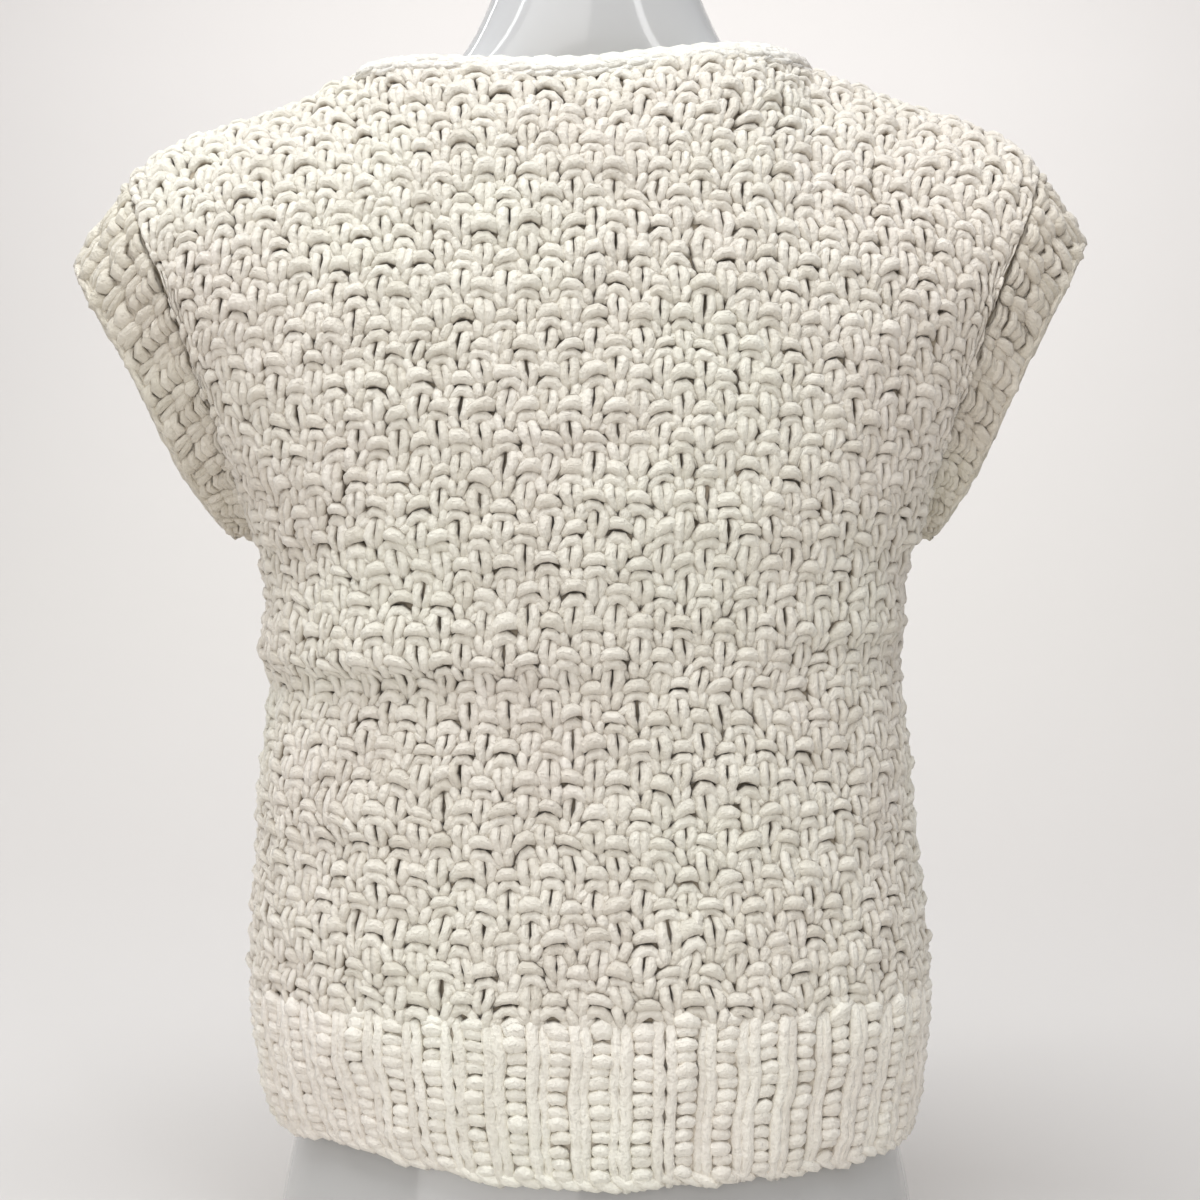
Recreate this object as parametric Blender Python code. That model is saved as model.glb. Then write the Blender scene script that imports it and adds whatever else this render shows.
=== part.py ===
"""Sleeveless wrap cardigan in a chunky hand knit, worn on a smooth torso form without limbs.

Metres, +Z up. The wearer's front faces -Y, so the back, with its rolled neck edge, faces +Y.
+X is the wearer's left. The origin is the middle of the form's flat base.

A place on the knit is given by three numbers. side is +1 on the back and -1 on the front.
u runs across, from -1 at the wearer's right seam to +1 at the left one, in equal lengths of cloth.
v runs up, from -1 at the hem to 0 at the underarm, and on to 1 at the shoulder seam and neck.
"""
import math
from collections import namedtuple

import bmesh
import bpy
import numpy as np

# The knit
BODY_WALL = 0.0060          # thickness of the moss stitch panels
RIB_WALL = 0.0050           # thickness of a rib, in its grooves
RIB_RISE = 0.0022           # how far a knit column stands over the grooves
RIB_ROUND = 0.8             # under 1 makes a knit column's top broader than its groove
SEAM = 0.0003               # gap between two pieces that are sewn together
BAND_SEAM = 0.0008          # the same round an armhole, where the cloth twists
ROLL_RADIUS = 0.0040        # rolled chain edge at the neck and the fronts
JOINT_RUN = 0.0030          # straight end of each rolled edge at the shoulder seam
JOINT_INSET = 0.0064        # its middle, in from the corner of the neck
LAP_RISE = 0.0090           # the right front passes this far over the left one

# Heights
HEM_Z = 0.076
RIB_TOP_Z = 0.150
UNDERARM_Z = 0.377
TUBE_HEIGHT = UNDERARM_Z - HEM_Z
RIB_TOP_V = (RIB_TOP_Z - UNDERARM_Z) / TUBE_HEIGHT

# Shoulders and armholes
TILT = 0.014                # the right shoulder hangs this much higher, as a slope
NECK_TILT = 0.050           # and so does the neck's edge, between its two sides
WIDEN = 1.25                # how late the side moves out to the shoulder corner: over 1 is late
ROUND_BACK = 0.75           # fullness of the curve from the underarm up to the neck: under 1 is full
OPEN_ROW = 0.42             # share of a row's turn at the side that the armhole takes away
OPEN_EARLY = 0.7            # under 1 opens it soon above the underarm
ROW_SAG = 2.2               # rows fall towards the armhole by this power of u
RIDGE_PULL = 4              # how late the rows take the line of the shoulder seam
ARMHOLE_BACK = 0.078        # how far the armhole's edge lies behind the shoulder seam
ARMHOLE_FRONT = 0.070
ARMHOLE_SOFT = 0.52         # under 1 makes the armhole's bottom round

# Ribs
HEM_RIBS = 24               # knit columns across the back, and across the front
BAND_RIBS = 26              # knit columns round an armhole
STEPS_PER_RIB = 3           # mesh columns that draw one rib and its groove

# Sections round the body below the underarm. squareness 2 is an ellipse, more is boxier.
Ring = namedtuple("Ring", "height half_width back front shift squareness")
RINGS = (
    Ring(0.076, 0.1690, 0.1160, 0.1150, 0.001, 2.05),
    Ring(0.098, 0.1740, 0.1180, 0.1180, 0.002, 2.10),
    Ring(0.150, 0.1780, 0.1200, 0.1230, 0.003, 2.30),
    Ring(0.216, 0.1740, 0.1160, 0.1240, 0.005, 2.30),
    Ring(0.264, 0.1710, 0.1130, 0.1240, 0.006, 2.30),
    Ring(0.318, 0.1670, 0.1130, 0.1260, 0.006, 2.30),
    Ring(0.350, 0.1675, 0.1150, 0.1290, 0.006, 2.30),
    Ring(0.377, 0.1720, 0.1170, 0.1310, 0.006, 2.30),
)

# The top edge of the panels: neck first, then the shoulder seam out to the corner.
Top = namedtuple("Top", "across back_y back_z front_y front_z")
TOPS = (
    Top(0.000, 0.0520, 0.6200, 0.0800, 0.5920),
    Top(0.060, 0.0480, 0.6245, 0.0700, 0.6040),
    Top(0.090, 0.0360, 0.6280, 0.0480, 0.6180),
    Top(0.110, 0.0140, 0.6300, 0.0180, 0.6280),
    Top(0.117, 0.0000, 0.6290, 0.0000, 0.6290),
    Top(0.140, 0.0000, 0.6185, 0.0000, 0.6185),
    Top(0.173, 0.0000, 0.6045, 0.0000, 0.6045),
    Top(0.208, 0.0000, 0.5910, 0.0000, 0.5910),
    Top(0.224, 0.0000, 0.5810, 0.0000, 0.5810),
    Top(0.232, 0.0000, 0.5690, 0.0000, 0.5690),
)
NECK_ROW = 4                # the row of TOPS where the neck meets the shoulder seam
CORNER = TOPS[-1]

# The free edge of the right front, as u at heights v. The left front is its mirror image.
Edge = namedtuple("Edge", "v u")
FRONT_EDGE = (
    Edge(-1.00, 0.56),
    Edge(RIB_TOP_V, 0.55),
    Edge(-0.40, 0.45),
    Edge(0.00, 0.28),
    Edge(0.30, 0.02),
    Edge(0.60, -0.24),
    Edge(0.85, -0.43),
    Edge(1.00, None),        # the neck's side, worked out below
)
LAP_START = 0.23            # the right front starts to rise this far, in u, from the left one's edge
LAP_END = 0.09              # and lies at its full height from here

# The armhole band: how far it reaches out and down, from the underarm (0) to the shoulder (1).
Band = namedtuple("Band", "place out drop")
BANDS = (
    Band(0.00, 0.0140, -0.0030),
    Band(0.15, 0.0160, 0.0060),
    Band(0.30, 0.0180, 0.0140),
    Band(0.55, 0.0210, 0.0170),
    Band(0.80, 0.0240, 0.0260),
    Band(1.00, 0.0260, 0.0360),
)
BAND_TAKE_IN = 0.80         # the band's free edge is this much narrower, front to back
BAND_TURN = 0.006           # the band first follows the body's cloth this far, then turns out
BAND_TURN_REACH = 0.15      # and has gone this share of its reach there
BAND_END_TURN = 0.5         # its free edge keeps this share of BAND_TURN
BAND_LEFT = 1.10            # the left band stands out more than the right one
BAND_RIGHT = 0.92

# The hem hangs higher at the left of the back.
HEM_RISE = 0.010
HEM_RISE_U = 0.62
HEM_RISE_WIDTH = 0.28

# Creases across the body. The cloth over one bulges, and the cloth under it is tucked in.
Fold = namedtuple("Fold", "side u width height half_height lift")
FOLDS = (
    Fold(1, 0.62, 0.50, 0.316, 0.020, 0.0050),
    Fold(1, -0.72, 0.26, 0.330, 0.022, 0.0025),
    Fold(-1, 0.75, 0.34, 0.312, 0.022, 0.0040),
    Fold(-1, -0.70, 0.40, 0.322, 0.022, 0.0035),
)

# The form: half-width and depths at each height.
Section = namedtuple("Section", "height half_width back front")
FORM = (
    Section(0.000, 0.1660, 0.1100, 0.1040),
    Section(0.003, 0.1680, 0.1120, 0.1060),
    Section(0.030, 0.1665, 0.1110, 0.1060),
    Section(0.066, 0.1600, 0.1060, 0.1040),
    Section(0.110, 0.1500, 0.0980, 0.1010),
    Section(0.170, 0.1310, 0.0870, 0.0970),
    Section(0.230, 0.1180, 0.0780, 0.0910),
    Section(0.270, 0.1150, 0.0760, 0.0900),
    Section(0.320, 0.1210, 0.0790, 0.0950),
    Section(0.380, 0.1350, 0.0880, 0.1080),
    Section(0.430, 0.1470, 0.0950, 0.1160),
    Section(0.470, 0.1550, 0.0970, 0.1120),
    Section(0.508, 0.1660, 0.0940, 0.0970),
    Section(0.540, 0.1790, 0.0840, 0.0800),
    Section(0.564, 0.1850, 0.0700, 0.0660),
    Section(0.584, 0.1790, 0.0570, 0.0550),
    Section(0.5985, 0.1640, 0.0480, 0.0470),
    Section(0.6110, 0.1400, 0.0420, 0.0430),
    Section(0.6190, 0.1120, 0.0400, 0.0420),
    Section(0.6260, 0.0880, 0.0420, 0.0440),
    Section(0.6370, 0.0730, 0.0450, 0.0460),
    Section(0.655, 0.0620, 0.0480, 0.0480),
    Section(0.674, 0.0550, 0.0500, 0.0490),
    Section(0.710, 0.0535, 0.0510, 0.0500),
    Section(0.738, 0.0550, 0.0530, 0.0520),
    Section(0.745, 0.0530, 0.0510, 0.0500),
    Section(0.748, 0.0470, 0.0450, 0.0440),
)
FORM_SQUARENESS = 2.25
FORM_SIDES = 32

# How finely the panels are drawn
SLOPE_STEP = 0.002          # step in u and v that the cloth's slope is measured over
ASIDE = 0.05                # step in u or v from a free edge into its cloth
ROWS_TO_SHOULDER = 1.35     # over 1 draws the upper rows closer together near the shoulder
ROWS_TO_UNDERARM = 1.20     # and near the underarm
NECK_COLUMNS = 8            # half of the back neck
SHOULDER_COLUMNS = 7        # one shoulder
FRONT_COLUMNS = 22
TUBE_ROWS = 11
UPPER_ROWS = 13
RIB_ROWS = 2
BAND_ROWS = 3

CRISP_ANGLE = math.radians(50)

KNIT_COLOUR = (0.80, 0.76, 0.68)
EDGE_COLOUR = (0.86, 0.83, 0.76)
FORM_COLOUR = (0.78, 0.78, 0.77)


def column(table, name):
    return np.array([getattr(row, name) for row in table], dtype=float)


def smooth(places, values, at):
    """A smooth curve through the values at the places, which never overshoots them."""
    at = np.clip(at, places[0], places[-1])
    slope = np.diff(values) / np.diff(places)
    product = slope[1:] * slope[:-1]
    total = slope[1:] + slope[:-1]
    inner = np.where(product > 0, 2 * product / np.where(product > 0, total, 1), 0)
    tangent = np.concatenate(([slope[0]], inner, [slope[-1]]))
    k = np.clip(np.searchsorted(places, at, side="right") - 1, 0, len(places) - 2)
    step = places[k + 1] - places[k]
    f = (at - places[k]) / step
    start = values[k] * (1 + 2 * f) * (1 - f) ** 2 + tangent[k] * step * f * (1 - f) ** 2
    end = values[k + 1] * f * f * (3 - 2 * f) + tangent[k + 1] * step * f * f * (f - 1)
    return start + end


def read(table, place_name, name, at):
    return smooth(column(table, place_name), column(table, name), at)


def lengths(points):
    """The length along a line of points up to each of them, as a share of the whole."""
    steps = np.linalg.norm(np.diff(points, axis=0), axis=1)
    total = np.concatenate(([0.0], np.cumsum(steps)))
    return total / total[-1]


# A quarter of the body's typical section, walked in equal lengths of cloth
TYPICAL = Ring(0.240, 0.1730, 0.1200, 0.1200, 0.000, 2.30)
TURN = np.linspace(0, math.pi / 2, 721)
TURN_POWER = 2 / TYPICAL.squareness
TURN_SHARE = lengths(np.column_stack((
    TYPICAL.half_width * np.sin(TURN) ** TURN_POWER,
    TYPICAL.back * np.abs(np.cos(TURN)) ** TURN_POWER,
)))


def quarter(share, squareness):
    """Unit section from the centre line (share 0) round to the side seam (share 1)."""
    turn = np.interp(share, TURN_SHARE, TURN)
    power = 2 / squareness
    return np.sin(turn) ** power, np.abs(np.cos(turn)) ** power


def top_edge(side, u):
    """Neck edge and shoulder seam, right of the centre line for u from 0 to 1."""
    name = "back" if side > 0 else "front"
    x = np.linspace(0, CORNER.across, 481)
    y = read(TOPS, "across", name + "_y", x)
    z = read(TOPS, "across", name + "_z", x)
    share = lengths(np.column_stack((x, y, z)))
    return [np.interp(u, share, values) for values in (x, y, z)]


def neck_side(side):
    """u where the neck meets the shoulder seam."""
    u = np.linspace(0, 1, 2001)
    x = top_edge(side, u)[0]
    return float(np.interp(TOPS[NECK_ROW].across, x, u))


def row_point(side, u, v):
    """A row over the underarm, drawn from the centre line to the armhole's edge."""
    angle = v * math.pi / 2
    rise = np.sin(angle)
    run = np.abs(np.cos(angle))
    ring = RINGS[-1]
    top = TOPS[0]
    depth, top_y, top_z, armhole = (
        (ring.back, top.back_y, top.back_z, ARMHOLE_BACK) if side > 0
        else (ring.front, top.front_y, top.front_z, ARMHOLE_FRONT))
    edge_x = ring.half_width + (CORNER.across - ring.half_width) * rise ** WIDEN
    edge_y = armhole * np.abs(np.sin(2 * angle)) ** ARMHOLE_SOFT
    edge_z = UNDERARM_Z + (CORNER.back_z - UNDERARM_Z) * rise
    mid_y = top_y + (depth - top_y) * run ** ROUND_BACK
    mid_z = UNDERARM_Z + (top_z - UNDERARM_Z) * rise
    reach = 1 - OPEN_ROW * rise ** OPEN_EARLY
    x_in, y_in = quarter(u * reach, ring.squareness)
    x_end, y_end = quarter(reach, ring.squareness)
    x = edge_x * x_in / x_end
    y = edge_y + (mid_y - edge_y) * (y_in - y_end) / (1 - y_end)
    z = mid_z + (edge_z - mid_z) * u ** ROW_SAG
    return x, y, z


def upper_point(side, u, v):
    """The cloth over the underarm, for u from 0 to 1."""
    x, y, z = row_point(side, u, v)
    row_x, row_y, row_z = row_point(side, u, np.ones_like(v))
    top_x, top_y, top_z = top_edge(side, u)
    pull = np.sin(v * math.pi / 2) ** RIDGE_PULL
    return x + pull * (top_x - row_x), y + pull * (top_y - row_y), z + pull * (top_z - row_z)


def tube_point(side, u, v):
    """The cloth under the underarm, for u from 0 to 1."""
    z = UNDERARM_Z + v * TUBE_HEIGHT
    depth = read(RINGS, "height", "back" if side > 0 else "front", z)
    across, along = quarter(u, read(RINGS, "height", "squareness", z))
    return read(RINGS, "height", "half_width", z) * across, depth * along, z


def plain_point(side, u, v):
    """The smooth outer face of the knit, without its folds."""
    u, v = np.broadcast_arrays(np.clip(u, -1, 1), np.clip(v, -1, 1))
    share = np.abs(u)
    low = np.minimum(v, 0)
    high = np.maximum(v, 0)
    tube = tube_point(side, share, low)
    upper = upper_point(side, share, high)
    x, y, z = [np.where(v < 0, a, b) for a, b in zip(tube, upper)]
    x = x * np.sign(u)
    shift = read(RINGS, "height", "shift", np.where(v < 0, z, UNDERARM_Z))
    round_u = u if side > 0 else 2 - u
    near = np.exp(-((round_u - HEM_RISE_U) / HEM_RISE_WIDTH) ** 2)
    z = z + HEM_RISE * near * np.clip((RIB_TOP_V - v) / (RIB_TOP_V + 1), 0, 1)
    rise = np.sin(high * math.pi / 2)
    in_neck = np.clip(1 - (x / TOPS[NECK_ROW].across) ** 2, 0, 1) * rise ** RIDGE_PULL
    z = z - x * (TILT * rise + NECK_TILT * in_neck)
    return np.stack((x + shift, y * side, z), axis=-1)


def unit(vectors):
    return vectors / np.linalg.norm(vectors, axis=-1, keepdims=True)


def outward(side, u, v):
    """The direction that points out of the cloth."""
    across = plain_point(side, u + SLOPE_STEP, v) - plain_point(side, u - SLOPE_STEP, v)
    up = plain_point(side, u, v + SLOPE_STEP) - plain_point(side, u, v - SLOPE_STEP)
    return unit(np.cross(up, across)) * side


def fold_lift(side, u, z):
    lift = 0.0
    for fold in FOLDS:
        if fold.side == side:
            near = np.exp(-((u - fold.u) / fold.width) ** 2)
            height = (z - fold.height) / fold.half_height
            lift = lift + fold.lift * near * height * np.exp(0.5 - height ** 2)
    return lift


def cloth(side, u, v, sink=0.0, lift=0.0):
    """Points on the knit, lifted off its outer face or sunk below it."""
    point = plain_point(side, u, v)
    height = fold_lift(side, u, point[..., 2]) + lift - sink
    point = point + outward(side, u, v) * np.expand_dims(height * np.ones_like(u + v), -1)
    point[..., 1] += side * SEAM / 2
    return point


def front_edge(v):
    """u of the right front's free edge."""
    edge_u = np.array([-neck_side(-1) if row.u is None else row.u for row in FRONT_EDGE])
    return smooth(column(FRONT_EDGE, "v"), edge_u, v)


def lap_lift(u, v):
    """How far the right front rises to pass over the left one."""
    f = np.clip((u + front_edge(v) + LAP_START) / (LAP_START - LAP_END), 0, 1)
    return LAP_RISE * f * f * (3 - 2 * f)


def rib_lift(u, count):
    """Ribs as a wave across the cloth, with count of them from u = -1 to 1."""
    return RIB_RISE * (0.5 - 0.5 * np.cos(math.pi * count * (u + 1))) ** RIB_ROUND


# ------------------------------------------------------------------ making the objects

def material(name, colour, roughness, metallic=0.0):
    made = bpy.data.materials.new(name)
    made.use_nodes = True
    shader = made.node_tree.nodes["Principled BSDF"]
    shader.inputs["Base Color"].default_value = (*colour, 1)
    shader.inputs["Roughness"].default_value = roughness
    shader.inputs["Metallic"].default_value = metallic
    return made


def add_object(name, mesh, look, group):
    made = bpy.data.objects.new(name, mesh)
    group.objects.link(made)
    made.data.materials.append(look)
    return made


def grid_faces(rows, columns, start, loop):
    """Four-sided faces of a grid of points; a loop joins its last column to its first."""
    faces = []
    for row in range(rows - 1):
        for col in range(columns if loop else columns - 1):
            a = start + row * columns + col
            b = start + row * columns + (col + 1) % columns
            faces.append((a, b, b + columns, a + columns))
    return faces


def wall(name, outer, inner, look, group, loop=False):
    """A wall of cloth between two grids of points, closed along its edges."""
    rows, columns = outer.shape[:2]
    count = rows * columns
    faces = grid_faces(rows, columns, 0, loop)
    faces += [face[::-1] for face in grid_faces(rows, columns, count, loop)]
    bottom = list(range(columns))
    top = [count - columns + col for col in bottom]
    rims = [bottom, top]
    if loop:
        rims = [rim + rim[:1] for rim in rims]
    else:
        left = [row * columns for row in range(rows)]
        right = [row * columns + columns - 1 for row in range(rows)]
        rims += [left, right]
    for rim in rims:
        for a, b in zip(rim, rim[1:]):
            faces.append((a, b, b + count, a + count))
    mesh = bpy.data.meshes.new(name)
    points = np.concatenate((outer.reshape(-1, 3), inner.reshape(-1, 3)))
    mesh.from_pydata(points.tolist(), [], faces)
    tidy(mesh)
    return add_object(name, mesh, look, group)


def tidy(mesh):
    """Points every face outwards and shades the mesh smooth, with its edges kept crisp."""
    shape = bmesh.new()
    shape.from_mesh(mesh)
    bmesh.ops.recalc_face_normals(shape, faces=shape.faces)
    shape.to_mesh(mesh)
    shape.free()
    mesh.shade_smooth()
    mesh.set_sharp_from_angle(angle=CRISP_ANGLE)


def upper_levels():
    """v of the mesh rows over the underarm, closer together near the shoulder and underarm."""
    even = np.linspace(0, 1, UPPER_ROWS + 1)
    return (1 - (1 - even) ** ROWS_TO_SHOULDER) ** ROWS_TO_UNDERARM


def body_levels():
    gap = SEAM / 2 / TUBE_HEIGHT
    low = np.linspace(RIB_TOP_V + gap, 0, TUBE_ROWS + 1)
    return np.concatenate((low[:-1], upper_levels()))


def rib_levels():
    gap = SEAM / 2 / TUBE_HEIGHT
    return np.linspace(-1, RIB_TOP_V - gap, RIB_ROWS + 1)


def front_grid(levels, columns, over):
    """u and v of a front's mesh points, from its side seam to its free edge."""
    v = np.repeat(levels[:, None], columns + 1, axis=1)
    u = -1 + (front_edge(v) + 1) * np.linspace(0, 1, columns + 1)[None, :]
    return (u, v) if over else (-u, v)


def back_columns():
    """u of the back's mesh columns, with one at each side of the neck."""
    side = neck_side(1)
    half = np.concatenate((np.linspace(0, side, NECK_COLUMNS + 1)[1:],
                           np.linspace(side, 1, SHOULDER_COLUMNS + 1)[1:]))
    return np.concatenate((-half[::-1], [0.0], half))


def make_back(look, group):
    u, v = np.meshgrid(back_columns(), body_levels())
    wall("back", cloth(1, u, v), cloth(1, u, v, sink=BODY_WALL), look, group)


def make_fronts(look, group):
    for name, over in (("front_left", False), ("front_right", True)):
        u, v = front_grid(body_levels(), FRONT_COLUMNS, over)
        lift = lap_lift(u, v) if over else 0.0
        outer = cloth(-1, u, v, lift=lift)
        inner = cloth(-1, u, v, lift=lift, sink=BODY_WALL)
        wall(name, outer, inner, look, group)


def make_hem_ribs(look, group):
    levels = rib_levels()
    columns = HEM_RIBS * STEPS_PER_RIB
    v = np.repeat(levels[:, None], columns + 1, axis=1)
    u = np.linspace(-1, 1, columns + 1)[None, :] * np.ones_like(v)
    rib = rib_lift(u, HEM_RIBS)
    sink = BODY_WALL - RIB_WALL
    wall("hem_rib_back", cloth(1, u, v, lift=rib, sink=sink), cloth(1, u, v, sink=BODY_WALL),
         look, group)
    for name, over in (("hem_rib_left", False), ("hem_rib_right", True)):
        reach = float(front_edge(-1.0))
        columns = round(HEM_RIBS * (1 + reach) / 2) * STEPS_PER_RIB
        u, v = front_grid(levels, columns, over)
        lift = lap_lift(u, v) if over else 0.0
        outer = cloth(-1, u, v, lift=lift + rib_lift(u, HEM_RIBS), sink=sink)
        wall(name, outer, cloth(-1, u, v, lift=lift, sink=BODY_WALL), look, group)


def armhole_rim(across):
    """The body's edge round an armhole, at its mesh rows: up the back and down the front.

    Gives the edge's points, the way out of the cloth there, the way on past the edge, and the
    height from 0 at the underarm to 1 at the shoulder.
    """
    levels = upper_levels()
    v = np.concatenate((levels, levels[-2:0:-1]))
    u = across * np.ones_like(v)
    on_back = (np.arange(len(v)) < len(levels))[:, None]
    point = np.where(on_back, plain_point(1, u, v), plain_point(-1, u, v))
    out = np.where(on_back, outward(1, u, v), outward(-1, u, v))
    along = np.roll(point, -1, axis=0) - np.roll(point, 1, axis=0)
    onward = unit(np.cross(along, out))
    inside = point.mean(axis=0) - point
    onward *= np.sign(np.sum(onward * inside, axis=1))[:, None]
    height = (point[:, 2] - point[0, 2]) / (point[:, 2].max() - point[0, 2])
    return point, out, onward, height


def round_loop(values, share, places):
    """Values read round a closed loop, straight between its points."""
    closed = np.concatenate((values, values[:1]))
    if closed.ndim == 1:
        return np.interp(places, share, closed)
    return np.stack([np.interp(places, share, closed[:, k]) for k in range(3)], axis=-1)


def make_band(name, across, look, group):
    """The ribbed band, from the armhole's edge out to its free edge."""
    count = BAND_RIBS * STEPS_PER_RIB
    rim = armhole_rim(across)
    share = lengths(np.concatenate((rim[0], rim[0][:1])))
    places = np.arange(count) / count
    edge, body_out, onward, height = [round_loop(values, share, places) for values in rim]
    longer = BAND_LEFT if across > 0 else BAND_RIGHT
    out = read(BANDS, "place", "out", height) * across * longer
    drop = read(BANDS, "place", "drop", height) * longer
    take_in = (edge[:, 1] - edge[:, 1].mean()) * (BAND_TAKE_IN - 1)
    reach = np.stack((out, take_in, -drop), axis=-1)
    along = unit(np.roll(edge, -1, axis=0) - np.roll(edge, 1, axis=0))
    wave = 0.5 - 0.5 * np.cos(2 * math.pi * np.arange(count) / STEPS_PER_RIB)
    rib = RIB_RISE * wave ** RIB_ROUND
    start = edge + onward * BAND_SEAM
    turn = edge + onward * BAND_TURN + reach * BAND_TURN_REACH
    end = edge + onward * BAND_TURN * BAND_END_TURN + reach
    outer = []
    inner = []
    for row in range(BAND_ROWS + 1):
        f = row / BAND_ROWS
        point = start * (1 - f) ** 2 + turn * 2 * f * (1 - f) + end * f * f
        heading = (turn - start) * (1 - f) + (end - turn) * f
        normal = unit(np.cross(along, heading))
        normal *= np.sign(np.sum(normal * body_out, axis=1))[:, None]
        if row == 0:
            normal = body_out
        rise = rib[:, None] * min(1, 2 * f) - (BODY_WALL - RIB_WALL)
        outer.append(point + normal * rise)
        inner.append(point - normal * BODY_WALL)
    wall(name, np.array(outer), np.array(inner), look, group, loop=True)


def roll(name, points, look, group):
    """A rolled edge: a round cord along a line of points."""
    curve = bpy.data.curves.new(name, "CURVE")
    curve.dimensions = "3D"
    curve.bevel_depth = ROLL_RADIUS
    curve.bevel_resolution = 2
    curve.use_fill_caps = True
    line = curve.splines.new("POLY")
    line.points.add(len(points) - 1)
    for place, point in zip(line.points, points):
        place.co = (*point, 1)
    return add_object(name, curve, look, group)


def beside_edge(edge, out, inwards):
    """Middle of the roll that lies on an edge of the cloth, on the side away from inwards."""
    away = unit(np.cross(np.gradient(edge, axis=0), out))
    away *= -np.sign(np.sum(away * inwards, axis=1))[:, None]
    return edge - out * BODY_WALL / 2 + away * (ROLL_RADIUS + SEAM)


def shoulder_joint(across):
    """Where the rolled edges of the back neck and of a front meet, on the shoulder seam."""
    side = neck_side(1) * across
    corner = plain_point(1, side, 1.0)
    out = outward(1, side, 1.0)
    return corner - out * BODY_WALL / 2 - np.array((across * JOINT_INSET, 0, 0))


def toward(side, gap):
    return np.array((0, side * gap, 0))


def make_rolled_edges(look, group):
    columns = back_columns()
    u = columns[SHOULDER_COLUMNS + 1:-SHOULDER_COLUMNS - 1]
    v = np.ones_like(u)
    inwards = cloth(1, u, v - ASIDE) - cloth(1, u, v)
    middle = beside_edge(cloth(1, u, v), outward(1, u, v), inwards)
    ends = [[shoulder_joint(across) + toward(1, gap) for gap in (JOINT_RUN, SEAM / 2)]
            for across in (-1, 1)]
    roll("neck_edge_back", [*ends[0][::-1], *middle, *ends[1]], look, group)
    for name, over in (("front_edge_left", False), ("front_edge_right", True)):
        v = body_levels()
        v = np.concatenate((rib_levels()[:-1], v[:-1]))
        u = front_edge(v)
        lift = lap_lift(u, v) if over else 0.0
        across = 1 if over else -1
        edge = cloth(-1, u * across, v, lift=lift)
        inwards = cloth(-1, (u - ASIDE) * across, v, lift=lift) - edge
        middle = beside_edge(edge, outward(-1, u * across, v), inwards)
        end = [shoulder_joint(-across) + toward(-1, gap) for gap in (JOINT_RUN, SEAM / 2)]
        roll(name, [*middle, *end], look, group)


def make_form(look, group):
    """The smooth torso, lofted through its sections and flat at its base and neck."""
    turn = np.arange(FORM_SIDES) / FORM_SIDES * 2 * math.pi
    power = 2 / FORM_SQUARENESS
    across = np.sign(np.cos(turn)) * np.abs(np.cos(turn)) ** power
    along = np.sign(np.sin(turn)) * np.abs(np.sin(turn)) ** power
    rings = []
    for row in FORM:
        depth = np.where(along > 0, row.back, row.front)
        rings.append(np.stack((row.half_width * across, depth * along,
                               np.full(FORM_SIDES, row.height)), axis=-1))
    faces = grid_faces(len(FORM), FORM_SIDES, 0, True)
    faces.append(tuple(range(FORM_SIDES)))
    faces.append(tuple(range((len(FORM) - 1) * FORM_SIDES, len(FORM) * FORM_SIDES)))
    mesh = bpy.data.meshes.new("torso_form")
    mesh.from_pydata(np.concatenate(rings).tolist(), [], faces)
    tidy(mesh)
    add_object("torso_form", mesh, look, group)


def main():
    for old in list(bpy.data.objects):
        bpy.data.objects.remove(old)
    group = bpy.data.collections.new("wrap cardigan on torso form")
    bpy.context.scene.collection.children.link(group)
    knit = material("ivory moss knit", KNIT_COLOUR, 0.9)
    rib = material("ivory rib", KNIT_COLOUR, 0.9)
    edge = material("ivory rolled edge", EDGE_COLOUR, 0.85)
    shell = material("glossy white shell", FORM_COLOUR, 0.15)
    make_form(shell, group)
    make_back(knit, group)
    make_fronts(knit, group)
    make_hem_ribs(rib, group)
    make_band("armhole_band_left", 1, rib, group)
    make_band("armhole_band_right", -1, rib, group)
    make_rolled_edges(edge, group)


main()
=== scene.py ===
"""Looks of the sleeveless wrap cardigan and of the smooth torso form that it is worn on.

The knit is laid stitch by stitch. A smooth ground cloth follows each panel, and every strand of
yarn that shows on it is a short tube: two legs for a knit stitch, and a bump, an arch and two
feet for a purl stitch. Metres, +Z up; the garment's back faces +Y and the wearer's left is +X.
"""
import math
from collections import namedtuple

import bpy
import numpy as np
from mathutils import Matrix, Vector


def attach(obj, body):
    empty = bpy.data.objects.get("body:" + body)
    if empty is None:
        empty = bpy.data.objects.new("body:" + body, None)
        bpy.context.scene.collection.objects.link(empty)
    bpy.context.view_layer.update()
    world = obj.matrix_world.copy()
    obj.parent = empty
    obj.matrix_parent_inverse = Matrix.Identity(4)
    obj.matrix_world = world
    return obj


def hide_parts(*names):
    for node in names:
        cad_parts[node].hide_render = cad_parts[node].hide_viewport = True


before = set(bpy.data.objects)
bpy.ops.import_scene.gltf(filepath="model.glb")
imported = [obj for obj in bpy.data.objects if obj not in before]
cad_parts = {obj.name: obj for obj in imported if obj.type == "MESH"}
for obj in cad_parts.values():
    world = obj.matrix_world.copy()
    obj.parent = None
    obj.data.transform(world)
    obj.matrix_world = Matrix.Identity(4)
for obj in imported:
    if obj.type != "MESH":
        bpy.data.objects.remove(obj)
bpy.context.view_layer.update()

chance = np.random.default_rng(26)


def table(names, *rows):
    """Rows of values, with a name for each column."""
    return [namedtuple("Row", names)(*row) for row in rows]


# ------------------------ the garment's own sizes

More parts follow.
